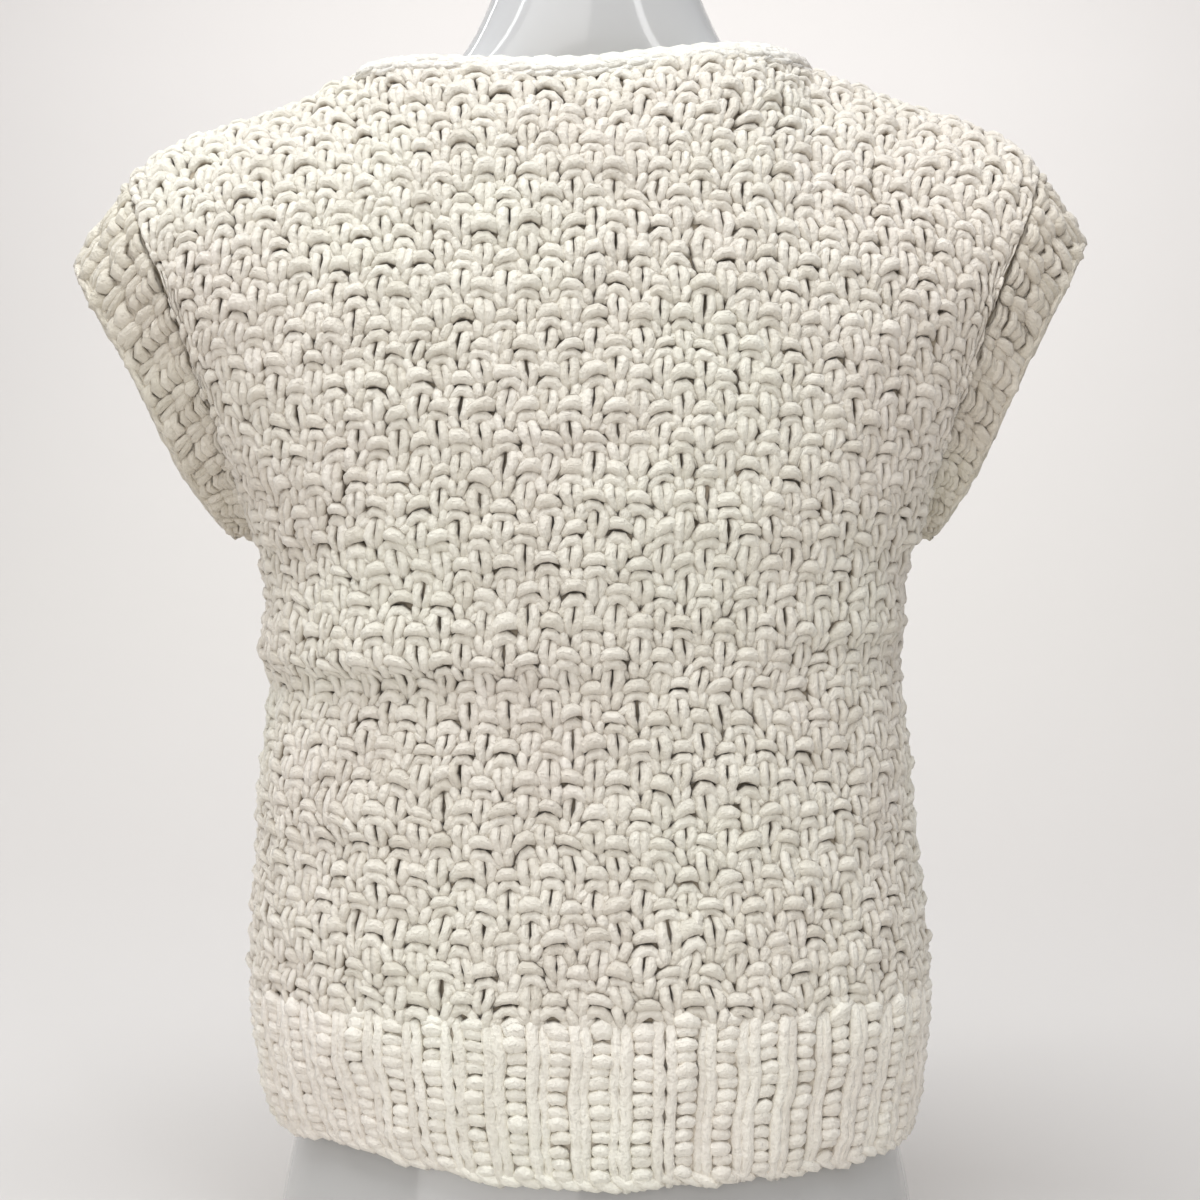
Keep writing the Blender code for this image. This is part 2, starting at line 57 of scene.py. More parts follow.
BODY_WALL = 0.0060          # thickness of the knit
SEAM = 0.0003               # gap between two pieces that are sewn together
BAND_SEAM = 0.0008          # the same round an armhole, where the cloth twists
JOINT_INSET = 0.0064        # middle of the edges' joint, in from the corner of the neck
LAP_RISE = 0.0090           # the right front passes this far over the left one
HEM_Z = 0.076
RIB_TOP_Z = 0.150
UNDERARM_Z = 0.377
TUBE_HEIGHT = UNDERARM_Z - HEM_Z
RIB_TOP_V = (RIB_TOP_Z - UNDERARM_Z) / TUBE_HEIGHT
TILT = 0.014                # the right shoulder hangs this much higher, as a slope
NECK_TILT = 0.050           # and so does the neck's edge, between its two sides
WIDEN = 1.25                # over 1 moves the side out late to the shoulder corner
ROUND_BACK = 0.75           # under 1 makes the curve from the underarm to the neck full
OPEN_ROW = 0.42             # share of a row's turn at the side that the armhole takes away
OPEN_EARLY = 0.7            # under 1 opens it soon above the underarm
ROW_SAG = 2.2               # rows fall towards the armhole by this power of u
RIDGE_PULL = 4              # how late the rows take the line of the shoulder seam
ARMHOLE_BACK = 0.078        # how far the armhole's edge lies behind the shoulder seam
ARMHOLE_FRONT = 0.070
ARMHOLE_SOFT = 0.52         # under 1 makes the armhole's bottom round
SLOPE_STEP = 0.002          # step in u and v that the cloth's slope is measured over
ASIDE = 0.05                # step in u or v from a free edge into its cloth

RINGS = table(
    "height half_width back front shift squareness",
    (0.076, 0.1690, 0.1160, 0.1150, 0.001, 2.05), (0.098, 0.1740, 0.1180, 0.1180, 0.002, 2.10),
    (0.150, 0.1780, 0.1200, 0.1230, 0.003, 2.30), (0.216, 0.1740, 0.1160, 0.1240, 0.005, 2.30),
    (0.264, 0.1710, 0.1130, 0.1240, 0.006, 2.30), (0.318, 0.1670, 0.1130, 0.1260, 0.006, 2.30),
    (0.350, 0.1675, 0.1150, 0.1290, 0.006, 2.30), (0.377, 0.1720, 0.1170, 0.1310, 0.006, 2.30),
)
TOPS = table(
    "across back_y back_z front_y front_z",
    (0.000, 0.0520, 0.6200, 0.0800, 0.5920), (0.060, 0.0480, 0.6245, 0.0700, 0.6040),
    (0.090, 0.0360, 0.6280, 0.0480, 0.6180), (0.110, 0.0140, 0.6300, 0.0180, 0.6280),
    (0.117, 0.0000, 0.6290, 0.0000, 0.6290), (0.140, 0.0000, 0.6185, 0.0000, 0.6185),
    (0.173, 0.0000, 0.6045, 0.0000, 0.6045), (0.208, 0.0000, 0.5910, 0.0000, 0.5910),
    (0.224, 0.0000, 0.5810, 0.0000, 0.5810), (0.232, 0.0000, 0.5690, 0.0000, 0.5690),
)
NECK_ROW = 4                # the row of TOPS where the neck meets the shoulder seam
CORNER = TOPS[-1]

FRONT_EDGE = table(
    "v u",
    (-1.00, 0.56), (RIB_TOP_V, 0.55), (-0.40, 0.45), (0.00, 0.28), (0.30, 0.02), (0.60, -0.24),
    (0.85, -0.43), (1.00, None),       # None stands for the neck's side
)
LAP_START = 0.23            # the right front starts to rise this far from the left one's edge
LAP_END = 0.09              # and lies at its full height from here

BANDS = table(
    "place out drop",
    (0.00, 0.0140, -0.0030), (0.15, 0.0160, 0.0060), (0.30, 0.0180, 0.0140),
    (0.55, 0.0210, 0.0170), (0.80, 0.0240, 0.0260), (1.00, 0.0260, 0.0360),
)
BAND_TAKE_IN = 0.80         # the band's free edge is this much narrower, front to back
BAND_TURN = 0.006           # the band first follows the body's cloth this far
BAND_TURN_REACH = 0.15      # and has gone this share of its reach there
BAND_END_TURN = 0.5         # its free edge keeps this share of BAND_TURN
BAND_LEFT = 1.10            # the left band stands out more than the right one
BAND_RIGHT = 0.92

HEM_RISE = 0.010            # the hem is drawn up on the wearer's left
HEM_RISE_U = 0.62
HEM_RISE_WIDTH = 0.28

FOLDS = table(
    "side u width height half_height lift",
    (1, 0.62, 0.50, 0.316, 0.020, 0.0050), (1, -0.72, 0.26, 0.330, 0.022, 0.0025),
    (-1, 0.75, 0.34, 0.312, 0.022, 0.0040), (-1, -0.70, 0.40, 0.322, 0.022, 0.0035),
    # smaller creases, which only the knit shows
    (1, 0.42, 0.42, 0.314, 0.007, 0.0034), (1, -0.60, 0.30, 0.330, 0.008, 0.0022),
    (1, 0.55, 0.30, 0.236, 0.009, 0.0014), (-1, 0.62, 0.34, 0.312, 0.008, 0.0030),
    (-1, -0.45, 0.30, 0.322, 0.008, 0.0026),
)

FORM = table(
    "height half_width back front",
    (0.0, 0.166, 0.11, 0.104), (0.003, 0.168, 0.112, 0.106), (0.03, 0.1665, 0.111, 0.106),
    (0.066, 0.16, 0.106, 0.104), (0.11, 0.15, 0.098, 0.101), (0.17, 0.131, 0.087, 0.097),
    (0.23, 0.118, 0.078, 0.091), (0.27, 0.115, 0.076, 0.09), (0.32, 0.121, 0.079, 0.095),
    (0.38, 0.135, 0.088, 0.108), (0.43, 0.147, 0.095, 0.116), (0.47, 0.155, 0.097, 0.112),
    (0.508, 0.166, 0.094, 0.097), (0.54, 0.179, 0.084, 0.08), (0.564, 0.185, 0.07, 0.066),
    (0.584, 0.179, 0.057, 0.055), (0.5985, 0.164, 0.048, 0.047), (0.611, 0.14, 0.042, 0.043),
    (0.619, 0.112, 0.04, 0.042), (0.626, 0.088, 0.042, 0.044), (0.637, 0.073, 0.045, 0.046),
    (0.655, 0.062, 0.048, 0.048), (0.674, 0.055, 0.05, 0.049), (0.71, 0.0535, 0.051, 0.05),
    (0.738, 0.055, 0.053, 0.052), (0.745, 0.053, 0.051, 0.05), (0.748, 0.047, 0.045, 0.044),
)
FORM_SQUARENESS = 2.25
FORM_TURNS = 128            # smooth sides of the form's skin
FORM_RISES = 190

# ------------------------ the knit

STITCHES = 44               # moss stitches across the back, and across the front
RIB_STITCHES = 48
BAND_STITCHES = 52
BAND_ROWS = 6
BAND_ROW = 0.0065
RIB_ROWS = 12
WIDE = 0.0113               # one stitch across the cloth
ROW = 0.0074                # one row up the cloth
YARN = 0.0028               # half the yarn's thickness
NECK_ROOM = 4.0             # rows at the back of the neck that the rolled edge covers
NECK_ROUND = 0.35           # how full the neck's rolled edge stays towards its ends
RIB_SINK = 0.0024           # the ground cloth lies this far under the ribs' outer face
GROUND_SINK = 0.0034        # and this far under the moss stitch's
SIDES = 6                   # flat sides of a strand
MM = 0.001

# ------------------------ the surface of the cloth
#
# side is 1 for the back and -1 for the fronts. u runs across, from -1 at the wearer's right
# seam to 1 at the left one. v runs up, from -1 at the hem over 0 at the underarm to 1 at the
# neck and shoulders.


def column(rows, name):
    return np.array([getattr(row, name) for row in rows], dtype=float)


def smooth(at, places, values):
    """A smooth curve through the values at the places, which never overshoots them."""
    at = np.clip(at, places[0], places[-1])
    slope = np.diff(values) / np.diff(places)
    product = slope[1:] * slope[:-1]
    total = slope[1:] + slope[:-1]
    inner = np.where(product > 0, 2 * product / np.where(product > 0, total, 1), 0)
    tangent = np.concatenate(([slope[0]], inner, [slope[-1]]))
    k = np.clip(np.searchsorted(places, at, side="right") - 1, 0, len(places) - 2)
    step = places[k + 1] - places[k]
    f = (at - places[k]) / step
    start = values[k] * (1 + 2 * f) * (1 - f) ** 2 + tangent[k] * step * f * (1 - f) ** 2
    end = values[k + 1] * f * f * (3 - 2 * f) + tangent[k + 1] * step * f * f * (f - 1)
    return start + end


def read(rows, name, at):
    """One column of a table, as a smooth curve over the table's first column."""
    return smooth(at, column(rows, rows[0]._fields[0]), column(rows, name))


def between(at, places, values, curve=np.interp):
    """Points read between the rows of values, which stand at the places."""
    return np.stack([curve(at, places, value) for value in values.T], axis=-1)


def along_line(points):
    """The length along a line of points up to each of them."""
    return np.concatenate(([0.0], np.cumsum(np.linalg.norm(np.diff(points, axis=0), axis=1))))


def lengths(points):
    """The same, as a share of the whole."""
    run = along_line(points)
    return run / run[-1]


# a typical ring, which shares out the stitches round the body
TYPICAL_HALF_WIDTH = 0.1730
TYPICAL_DEPTH = 0.1200
TYPICAL_POWER = 2 / 2.30
TURN = np.linspace(0, math.pi / 2, 721)
TURN_SHARE = lengths(np.column_stack((
    TYPICAL_HALF_WIDTH * np.sin(TURN) ** TYPICAL_POWER,
    TYPICAL_DEPTH * np.abs(np.cos(TURN)) ** TYPICAL_POWER,
)))


def quarter(share, squareness):
    """Unit section from the centre line (share 0) round to the side seam (share 1)."""
    turn = np.interp(share, TURN_SHARE, TURN)
    power = 2 / squareness
    return np.sin(turn) ** power, np.abs(np.cos(turn)) ** power


def top_line(side):
    """Neck edge and shoulder seam of one half, as shares of its length and points."""
    name = "back" if side > 0 else "front"
    x = np.linspace(0, CORNER.across, 481)
    y = read(TOPS, name + "_y", x)
    z = read(TOPS, name + "_z", x)
    return lengths(np.column_stack((x, y, z))), (x, y, z)


TOP_LINES = {side: top_line(side) for side in (1, -1)}


def top_edge(side, u):
    """Points of the neck edge and shoulder seam."""
    share, line = TOP_LINES[side]
    return [np.interp(u, share, values) for values in line]


def neck_side(side):
    """u where the neck meets the shoulder seam."""
    u = np.linspace(0, 1, 2001)
    x = top_edge(side, u)[0]
    return float(np.interp(TOPS[NECK_ROW].across, x, u))


def neck_bell(share):
    """One along the middle of the neck's edge, falling to nought at its ends."""
    return np.clip(1 - np.square(share), 0, 1) ** NECK_ROUND


def row_point(side, u, v):
    """A row over the underarm, drawn from the centre line to the armhole's edge."""
    angle = v * math.pi / 2
    rise = np.sin(angle)
    run = np.abs(np.cos(angle))
    ring = RINGS[-1]
    top = TOPS[0]
    depth, top_y, top_z, armhole = (
        (ring.back, top.back_y, top.back_z, ARMHOLE_BACK) if side > 0
        else (ring.front, top.front_y, top.front_z, ARMHOLE_FRONT))
    edge_x = ring.half_width + (CORNER.across - ring.half_width) * rise ** WIDEN
    edge_y = armhole * np.abs(np.sin(2 * angle)) ** ARMHOLE_SOFT
    edge_z = UNDERARM_Z + (CORNER.back_z - UNDERARM_Z) * rise
    mid_y = top_y + (depth - top_y) * run ** ROUND_BACK
    mid_z = UNDERARM_Z + (top_z - UNDERARM_Z) * rise
    reach = 1 - OPEN_ROW * rise ** OPEN_EARLY
    x_in, y_in = quarter(u * reach, ring.squareness)
    x_end, y_end = quarter(reach, ring.squareness)
    x = edge_x * x_in / x_end
    y = edge_y + (mid_y - edge_y) * (y_in - y_end) / (1 - y_end)
    z = mid_z + (edge_z - mid_z) * u ** ROW_SAG
    return x, y, z


def upper_point(side, u, v):
    """The cloth over the underarm, for u from 0 to 1."""
    x, y, z = row_point(side, u, v)
    row_x, row_y, row_z = row_point(side, u, np.ones_like(v))
    top_x, top_y, top_z = top_edge(side, u)
    pull = np.sin(v * math.pi / 2) ** RIDGE_PULL
    return x + pull * (top_x - row_x), y + pull * (top_y - row_y), z + pull * (top_z - row_z)


def tube_point(side, u, v):
    """The cloth under the underarm, for u from 0 to 1."""
    z = UNDERARM_Z + v * TUBE_HEIGHT
    depth = read(RINGS, "back" if side > 0 else "front", z)
    across, along = quarter(u, read(RINGS, "squareness", z))
    return read(RINGS, "half_width", z) * across, depth * along, z


def plain_point(side, u, v):
    """The smooth outer face of the knit, without its folds."""
    u, v = np.broadcast_arrays(np.clip(u, -1, 1), np.clip(v, -1, 1))
    share = np.abs(u)
    low = np.minimum(v, 0)
    high = np.maximum(v, 0)
    tube = tube_point(side, share, low)
    upper = upper_point(side, share, high)
    x, y, z = [np.where(v < 0, a, b) for a, b in zip(tube, upper)]
    x = x * np.sign(u)
    shift = read(RINGS, "shift", np.where(v < 0, z, UNDERARM_Z))
    round_u = u if side > 0 else 2 - u
    near = np.exp(-((round_u - HEM_RISE_U) / HEM_RISE_WIDTH) ** 2)
    z = z + HEM_RISE * near * np.clip((RIB_TOP_V - v) / (RIB_TOP_V + 1), 0, 1)
    rise = np.sin(high * math.pi / 2)
    in_neck = np.clip(1 - (x / TOPS[NECK_ROW].across) ** 2, 0, 1) * rise ** RIDGE_PULL
    z = z - x * (TILT * rise + NECK_TILT * in_neck)
    return np.stack((x + shift, y * side, z), axis=-1)


def unit(vectors):
    return vectors / np.maximum(np.linalg.norm(vectors, axis=-1, keepdims=True), 1e-12)


def outward(side, u, v):
    """The direction that points out of the cloth."""
    across = plain_point(side, u + SLOPE_STEP, v) - plain_point(side, u - SLOPE_STEP, v)
    up = plain_point(side, u, v + SLOPE_STEP) - plain_point(side, u, v - SLOPE_STEP)
    return unit(np.cross(up, across)) * side


def fold_lift(side, u, z):
    """How far the creases lift the cloth off its smooth face."""
    lift = 0.0
    for fold in FOLDS:
        if fold.side == side:
            near = np.exp(-((u - fold.u) / fold.width) ** 2)
            height = (z - fold.height) / fold.half_height
            lift = lift + fold.lift * near * height * np.exp(0.5 - height ** 2)
    return lift


def read_grid(grid, row, place):
    """Values of a grid between its rows and places, given as fractions of a step."""
    row = np.clip(row, 0, grid.shape[0] - 1.000001)
    place = np.clip(place, 0, grid.shape[1] - 1.000001)
    r, p = row.astype(int), place.astype(int)
    rf, pf = row - r, place - p
    low = grid[r, p] * (1 - pf) + grid[r, p + 1] * pf
    high = grid[r + 1, p] * (1 - pf) + grid[r + 1, p + 1] * pf
    return low * (1 - rf) + high * rf


def cloth(side, u, v, lift=0.0):
    """Points on the knit, lifted off its outer face or, below nought, sunk into it."""
    point = plain_point(side, u, v)
    height = fold_lift(side, u, point[..., 2]) + lift
    point = point + outward(side, u, v) * np.expand_dims(height * np.ones_like(u + v), -1)
    point[..., 1] += side * SEAM / 2
    return point


EDGE_V = column(FRONT_EDGE, "v")
EDGE_U = np.array([-neck_side(-1) if row.u is None else row.u for row in FRONT_EDGE])


def front_edge(v):
    """u of the right front's free edge."""
    return smooth(v, EDGE_V, EDGE_U)


def lap_lift(u, v):
    """How far the right front rises to pass over the left one."""
    f = np.clip((u + front_edge(v) + LAP_START) / (LAP_START - LAP_END), 0, 1)
    return LAP_RISE * f * f * (3 - 2 * f)


UNDERARM = 80               # the level of the underarm, among the levels of the columns
PLACES = 160                # steps from the centre line to the side, in the columns' rows
EVEN_LEVELS = np.concatenate((np.linspace(-1, 0, UNDERARM + 1), np.linspace(0, 1, 121)[1:] ** 2))
COLUMN_FALL = 0.08          # how far the columns lean in on their way up past the armhole
COLUMN_BLEND = 0.004        # metres over which a column bends from one rule to the other
BLEND_IN = 0.3              # v over which that bend sets in
CROWD = 0.07                # the share of a row, next to the armhole, where columns crowd up
CROWD_IN = 0.05             # and how far they must reach past the edge for all of that
LAST_COLUMN = 1.06          # columns that reach further than this are left out


def even_columns(side):
    """The u at even lengths from the centre line to the side, and how far the columns reach.

    Over the underarm the armhole cuts into the rows. The columns run on straight there, so the
    outer ones reach past 1, where they crowd up and then end, until the rows are longer again.
    """
    share = np.linspace(0, 1, PLACES + 1)
    lines = [cloth(side, share, np.full_like(share, v)) for v in EVEN_LEVELS]
    rows = np.array([np.interp(share, lengths(line), share) for line in lines])
    length = np.array([np.linalg.norm(np.diff(line, axis=0), axis=1).sum() for line in lines])
    level = np.maximum(EVEN_LEVELS, 0)
    straight = length[UNDERARM] * (1 - COLUMN_FALL * level)
    blend = COLUMN_BLEND * np.minimum(level / BLEND_IN, 1)
    longer = (length + straight) / 2 + np.hypot((length - straight) / 2, blend)
    return rows, np.where(level > 0, longer, length) / length


EVEN = {side: even_columns(side) for side in (1, -1)}


def edge_share(side, share, v):
    """A column's place across the row, as a share of the way from the centre line to the edge."""
    return np.abs(share) * np.interp(v, EVEN_LEVELS, EVEN[side][1])


def even_u(side, share, v):
    """u of a column that keeps its share of the stitches in every row."""
    share, v = np.broadcast_arrays(share, v)
    level = np.interp(v, EVEN_LEVELS, np.arange(len(EVEN_LEVELS)))
    along = edge_share(side, share, v)
    reach = np.interp(v, EVEN_LEVELS, EVEN[side][1])
    room = CROWD * np.clip((reach - 1) / CROWD_IN, 1e-6, 1)
    past = np.maximum(along - 1 + room, 0) / room
    along = along - room * (past - 1 + np.exp(-past))
    return np.sign(share) * read_grid(EVEN[side][0], level, along * PLACES)


WAVES = 14                  # waves that add up to the cloth's unevenness
WAVE_STEPS = chance.uniform(0.25, 1.5, (3, WAVES))
WAVE_TURNS, WAVE_STARTS = chance.uniform(0, 2 * math.pi, (2, 3, WAVES))
WAVE_TIGHT = 1.3            # how close together the waves lie
WAVE_HEIGHT = 1.4


def unevenness(kind, x, y):
    """A soft random wave over the cloth, of about 0.3 either way."""
    total = 0.0
    for step, turn, start in zip(WAVE_STEPS[kind], WAVE_TURNS[kind], WAVE_STARTS[kind]):
        along = x * math.cos(turn) + y * math.sin(turn)
        total = total + np.sin(step * along * WAVE_TIGHT + start)
    return total / WAVES * WAVE_HEIGHT


DRIFT_ACROSS = 0.30         # how far the stitches stray: in stitches, in rows and in metres
DRIFT_UP = 0.45
DRIFT_OUT = 0.0022
MARGIN = 0.35               # how much of a stitch may reach past the panel's edge
UNDER_LAP = 3               # stitches that the left front goes on under the right one's edge


class Panel:
    """One panel of the body, with its places given in stitches across and metres up.

    Stitch 0 is the wearer's right seam. Lengths are measured up each column from the rib's top,
    so rows of stitches keep their height and run out at the neck and shoulders.
    """

    def __init__(self, side, front=None):
        self.side = side
        self.front = front          # "over" or "under" for the two fronts
        last = 2 * STITCHES
        levels = np.concatenate((np.linspace(-1, 0, 150)[:-1], np.linspace(0, 1, 220)))
        share, v = np.meshgrid(np.linspace(-1, 1, last + 1), levels, indexing="ij")
        steps = np.linalg.norm(np.diff(cloth(side, even_u(side, share, v), v), axis=1), axis=2)
        # a column past the armhole's edge takes its steps from the last one that is on the cloth
        inner = edge_share(side, share, v) <= 1.0001
        near = np.clip(np.arange(last + 1)[:, None], inner.argmax(axis=0),
                       last - inner[::-1].argmax(axis=0))
        steps = np.take_along_axis(steps, near[:, 1:], axis=0)
        up = np.concatenate((np.zeros((last + 1, 1)), np.cumsum(steps, axis=1)), axis=1)
        start = np.array([np.interp(RIB_TOP_V, levels, row) for row in up])
        up -= start[:, None]
        self.foot = up[:, 0]
        self.top = up[:, -1]
        self.lengths = np.linspace(self.foot.min(), self.top.max(), 200)
        self.v = np.array([np.interp(self.lengths, row, levels) for row in up])
        self.centre = STITCHES * (0.75 if front == "under" else 0.25), 0.1

    def level(self, levels, stitch):
        """A length up the cloth, such as that of its foot or its top, at a stitch."""
        return np.interp(stitch * 2, np.arange(2 * STITCHES + 1), levels)

    def u_of(self, stitch, v):
        return even_u(self.side, np.clip(-1 + 2 * stitch / STITCHES, -1, 1), v)

    def v_of(self, stitch, length):
        """v at a length up the cloth, read from the table between its columns."""
        step = self.lengths[1] - self.lengths[0]
        return read_grid(self.v, stitch * 2, (length - self.lengths[0]) / step)

    def limit(self, u, v):
        """u kept inside the panel."""
        u = np.clip(u, -1, 1)
        if self.front == "over":
            return np.minimum(u, front_edge(v))
        if self.front == "under":
            return np.maximum(u, -front_edge(v))
        return u

    def place(self, stitch, length, height):
        """The point at a stitch across, a length up and a height off the cloth's outer face."""
        x, y = stitch, length / ROW
        # the stitches lie more evenly next to the rib
        loose = 0.7 + 0.3 * np.clip(y / 4, 0, 1)
        stitch = stitch + DRIFT_ACROSS * loose * unevenness(0, x, y)
        length = length + DRIFT_UP * ROW * loose * unevenness(1, x, y)
        height = height + DRIFT_OUT * loose * unevenness(2, x, y)
        v = self.v_of(stitch, length)
        u = self.limit(self.u_of(stitch, v), v)
        lap = lap_lift(u, v) if self.front == "over" else 0.0
        point = cloth(self.side, u, v, lift=height + lap)
        point[..., 2] += np.minimum(length - self.level(self.foot, stitch), 0)
        return point

    def holds(self, stitch, length):
        """Whether a place in the middle of a stitch lies on the panel, and shows."""
        v = self.v_of(stitch, length)
        u = self.u_of(stitch, v)
        share = 2 * stitch / STITCHES - 1
        room = self.level(self.top, stitch) + MARGIN * ROW
        if self.side > 0:
            room = room - NECK_ROOM * neck_bell(share / neck_side(1)) * ROW
        slack = MARGIN * 2 / STITCHES
        inside = (length < room) & (edge_share(self.side, share, v) < LAST_COLUMN)
        if self.front == "over":
            inside &= u < front_edge(v) + slack
        if self.front == "under":
            hidden = u < front_edge(v) - UNDER_LAP * 2 / STITCHES
            inside &= (u > -front_edge(v) - slack) & ~hidden
        return inside


class BandPanel:
    """The band round one armhole, in stitches round it and rows out from the body."""

    def __init__(self, across):
        levels = 1 - (1 - np.linspace(0, 1, 70)) ** 1.35
        v = np.concatenate((levels, levels[-2:0:-1]))
        u = across * np.ones_like(v)
        on_back = (np.arange(len(v)) < len(levels))[:, None]
        point = np.where(on_back, plain_point(1, u, v), plain_point(-1, u, v))
        out = np.where(on_back, outward(1, u, v), outward(-1, u, v))
        along = np.roll(point, -1, axis=0) - np.roll(point, 1, axis=0)
        onward = unit(np.cross(along, out))
        inside = point.mean(axis=0) - point
        onward *= np.sign(np.sum(onward * inside, axis=1))[:, None]
        height = (point[:, 2] - point[0, 2]) / (point[:, 2].max() - point[0, 2])
        self.share = lengths(np.concatenate((point, point[:1])))
        self.along = unit(along)
        self.body_out = out
        longer = BAND_LEFT if across > 0 else BAND_RIGHT
        reach = np.stack((
            read(BANDS, "out", height) * across * longer,
            (point[:, 1] - point[:, 1].mean()) * (BAND_TAKE_IN - 1),
            -read(BANDS, "drop", height) * longer,
        ), axis=-1)
        self.start = point + onward * BAND_SEAM
        self.turn = point + onward * BAND_TURN + reach * BAND_TURN_REACH
        self.end = point + onward * BAND_TURN * BAND_END_TURN + reach
        self.centre = BAND_STITCHES * 0.25, BAND_ROW * 2

    def at(self, values, stitch):
        closed = np.concatenate((values, values[:1]))
        return between((stitch / BAND_STITCHES) % 1.0, self.share, closed)

    def place(self, stitch, length, height):
        rows = length / BAND_ROW
        f = np.clip(rows / BAND_ROWS, 0, 1)[..., None]
        start, turn, end = [self.at(x, stitch) for x in (self.start, self.turn, self.end)]
        point = start * (1 - f) ** 2 + turn * 2 * f * (1 - f) + end * f * f
        heading = (turn - start) * (1 - f) + (end - turn) * f
        body_out = self.at(self.body_out, stitch)
        normal = unit(np.cross(self.at(self.along, stitch), heading))
        normal *= np.sign(np.sum(normal * body_out, axis=-1))[..., None]
        normal = unit(body_out * (1 - f) ** 3 + normal * (1 - (1 - f) ** 3))
        past = (rows / BAND_ROWS)[..., None] - f
        return point + normal * np.expand_dims(height, -1) + heading * past


# ------------------------ laying yarn


def uneven(size, shape):
    """Random amounts about nought, none of them very large."""
    return np.clip(chance.normal(0, size, shape), -1.6 * size, 1.6 * size)


def deselect():
    if bpy.context.mode != "OBJECT":
        bpy.ops.object.mode_set(mode="OBJECT")
    bpy.ops.object.select_all(action="DESELECT")


def rod(sides, rings):
    """A rod one long and one in radius, with rings of points along it.

    Gives each point's ring and its place on the circle, and the faces. No more than 102 rings
    are made: a rod of more has them spread over the numbers of all.
    """
    deselect()
    bpy.ops.mesh.primitive_cylinder_add(vertices=sides, radius=1, depth=1, end_fill_type="NGON")
    made = bpy.context.object
    bpy.context.tool_settings.mesh_select_mode = (False, True, False)
    bpy.ops.object.mode_set(mode="EDIT")
    bpy.ops.mesh.select_all(action="DESELECT")
    bpy.ops.object.mode_set(mode="OBJECT")
    points = made.data.vertices
    for edge in made.data.edges:
        a, b = [points[i].co.z for i in edge.vertices]
        edge.select = abs(a - b) > 0.5
    bpy.ops.object.mode_set(mode="EDIT")
    bpy.ops.mesh.subdivide(number_cuts=rings - 2)
    bpy.ops.object.mode_set(mode="OBJECT")
    places = np.array([point.co[:] for point in made.data.vertices])
    faces = [tuple(face.vertices) for face in made.data.polygons]
    bpy.data.objects.remove(made)
    ring = np.rint((places[:, 2] + 0.5) * (rings - 1)).astype(int)
    return ring, places[:, :2], faces


# the yarn's section, pressed flat by its neighbours: widths and heights from its foot up
SECTION_LEVELS = (-1.0, -0.5, 0.5, 1.0)
SECTION_WIDTHS = (0.0, 1.0, 0.76, 0.0)
SECTION_HEIGHTS = (-0.85, -0.12, 0.68, 1.0)
STRANDS = {}                # rods that were made before, by their number of rings


def pressed(circle):
    """A round rod's section, pressed flat as the yarn's is."""
    wide = np.interp(circle[:, 1], SECTION_LEVELS, SECTION_WIDTHS)
    tall = np.interp(circle[:, 1], SECTION_LEVELS, SECTION_HEIGHTS)
    return np.column_stack((np.sign(np.round(circle[:, 0], 3)) * wide, tall))


def lay_strands(paths, widths, heights):
    """Copies the strand along each path. Paths are (count, rings, 3) in flat metres.

    Gives the points of all the copies, the faces, and each point's place on its strand.
    """
    count, rings = paths.shape[:2]
    if rings not in STRANDS:
        ring, circle, faces = rod(SIDES, rings)
        STRANDS[rings] = ring, pressed(circle), faces
    ring, circle, faces = STRANDS[rings]
    along = unit(np.gradient(paths, axis=1))
    beside = unit(np.cross(along, (0, 0, 1.0)))
    above = np.cross(beside, along)
    points = (paths[:, ring]
              + beside[:, ring] * (widths[:, ring] * circle[:, 0])[..., None]
              + above[:, ring] * (heights[:, ring] * circle[:, 1])[..., None])
    steps = np.linalg.norm(np.diff(paths, axis=1), axis=2)
    run = np.concatenate((np.zeros((count, 1)), np.cumsum(steps, axis=1)), axis=1)
    run = run + chance.uniform(0, 5, (count, 1))
    fibre = np.concatenate((np.broadcast_to(circle * YARN, (count, len(ring), 2)),
                            run[:, ring][..., None]), axis=2)
    tone = np.repeat(chance.normal(0, 1, count)[:, None], len(ring), axis=1)
    size = len(ring)
    all_faces = [tuple(i + n * size for i in face) for n in range(count) for face in faces]
    return points.reshape(-1, 3), all_faces, fibre.reshape(-1, 3), tone.reshape(-1)


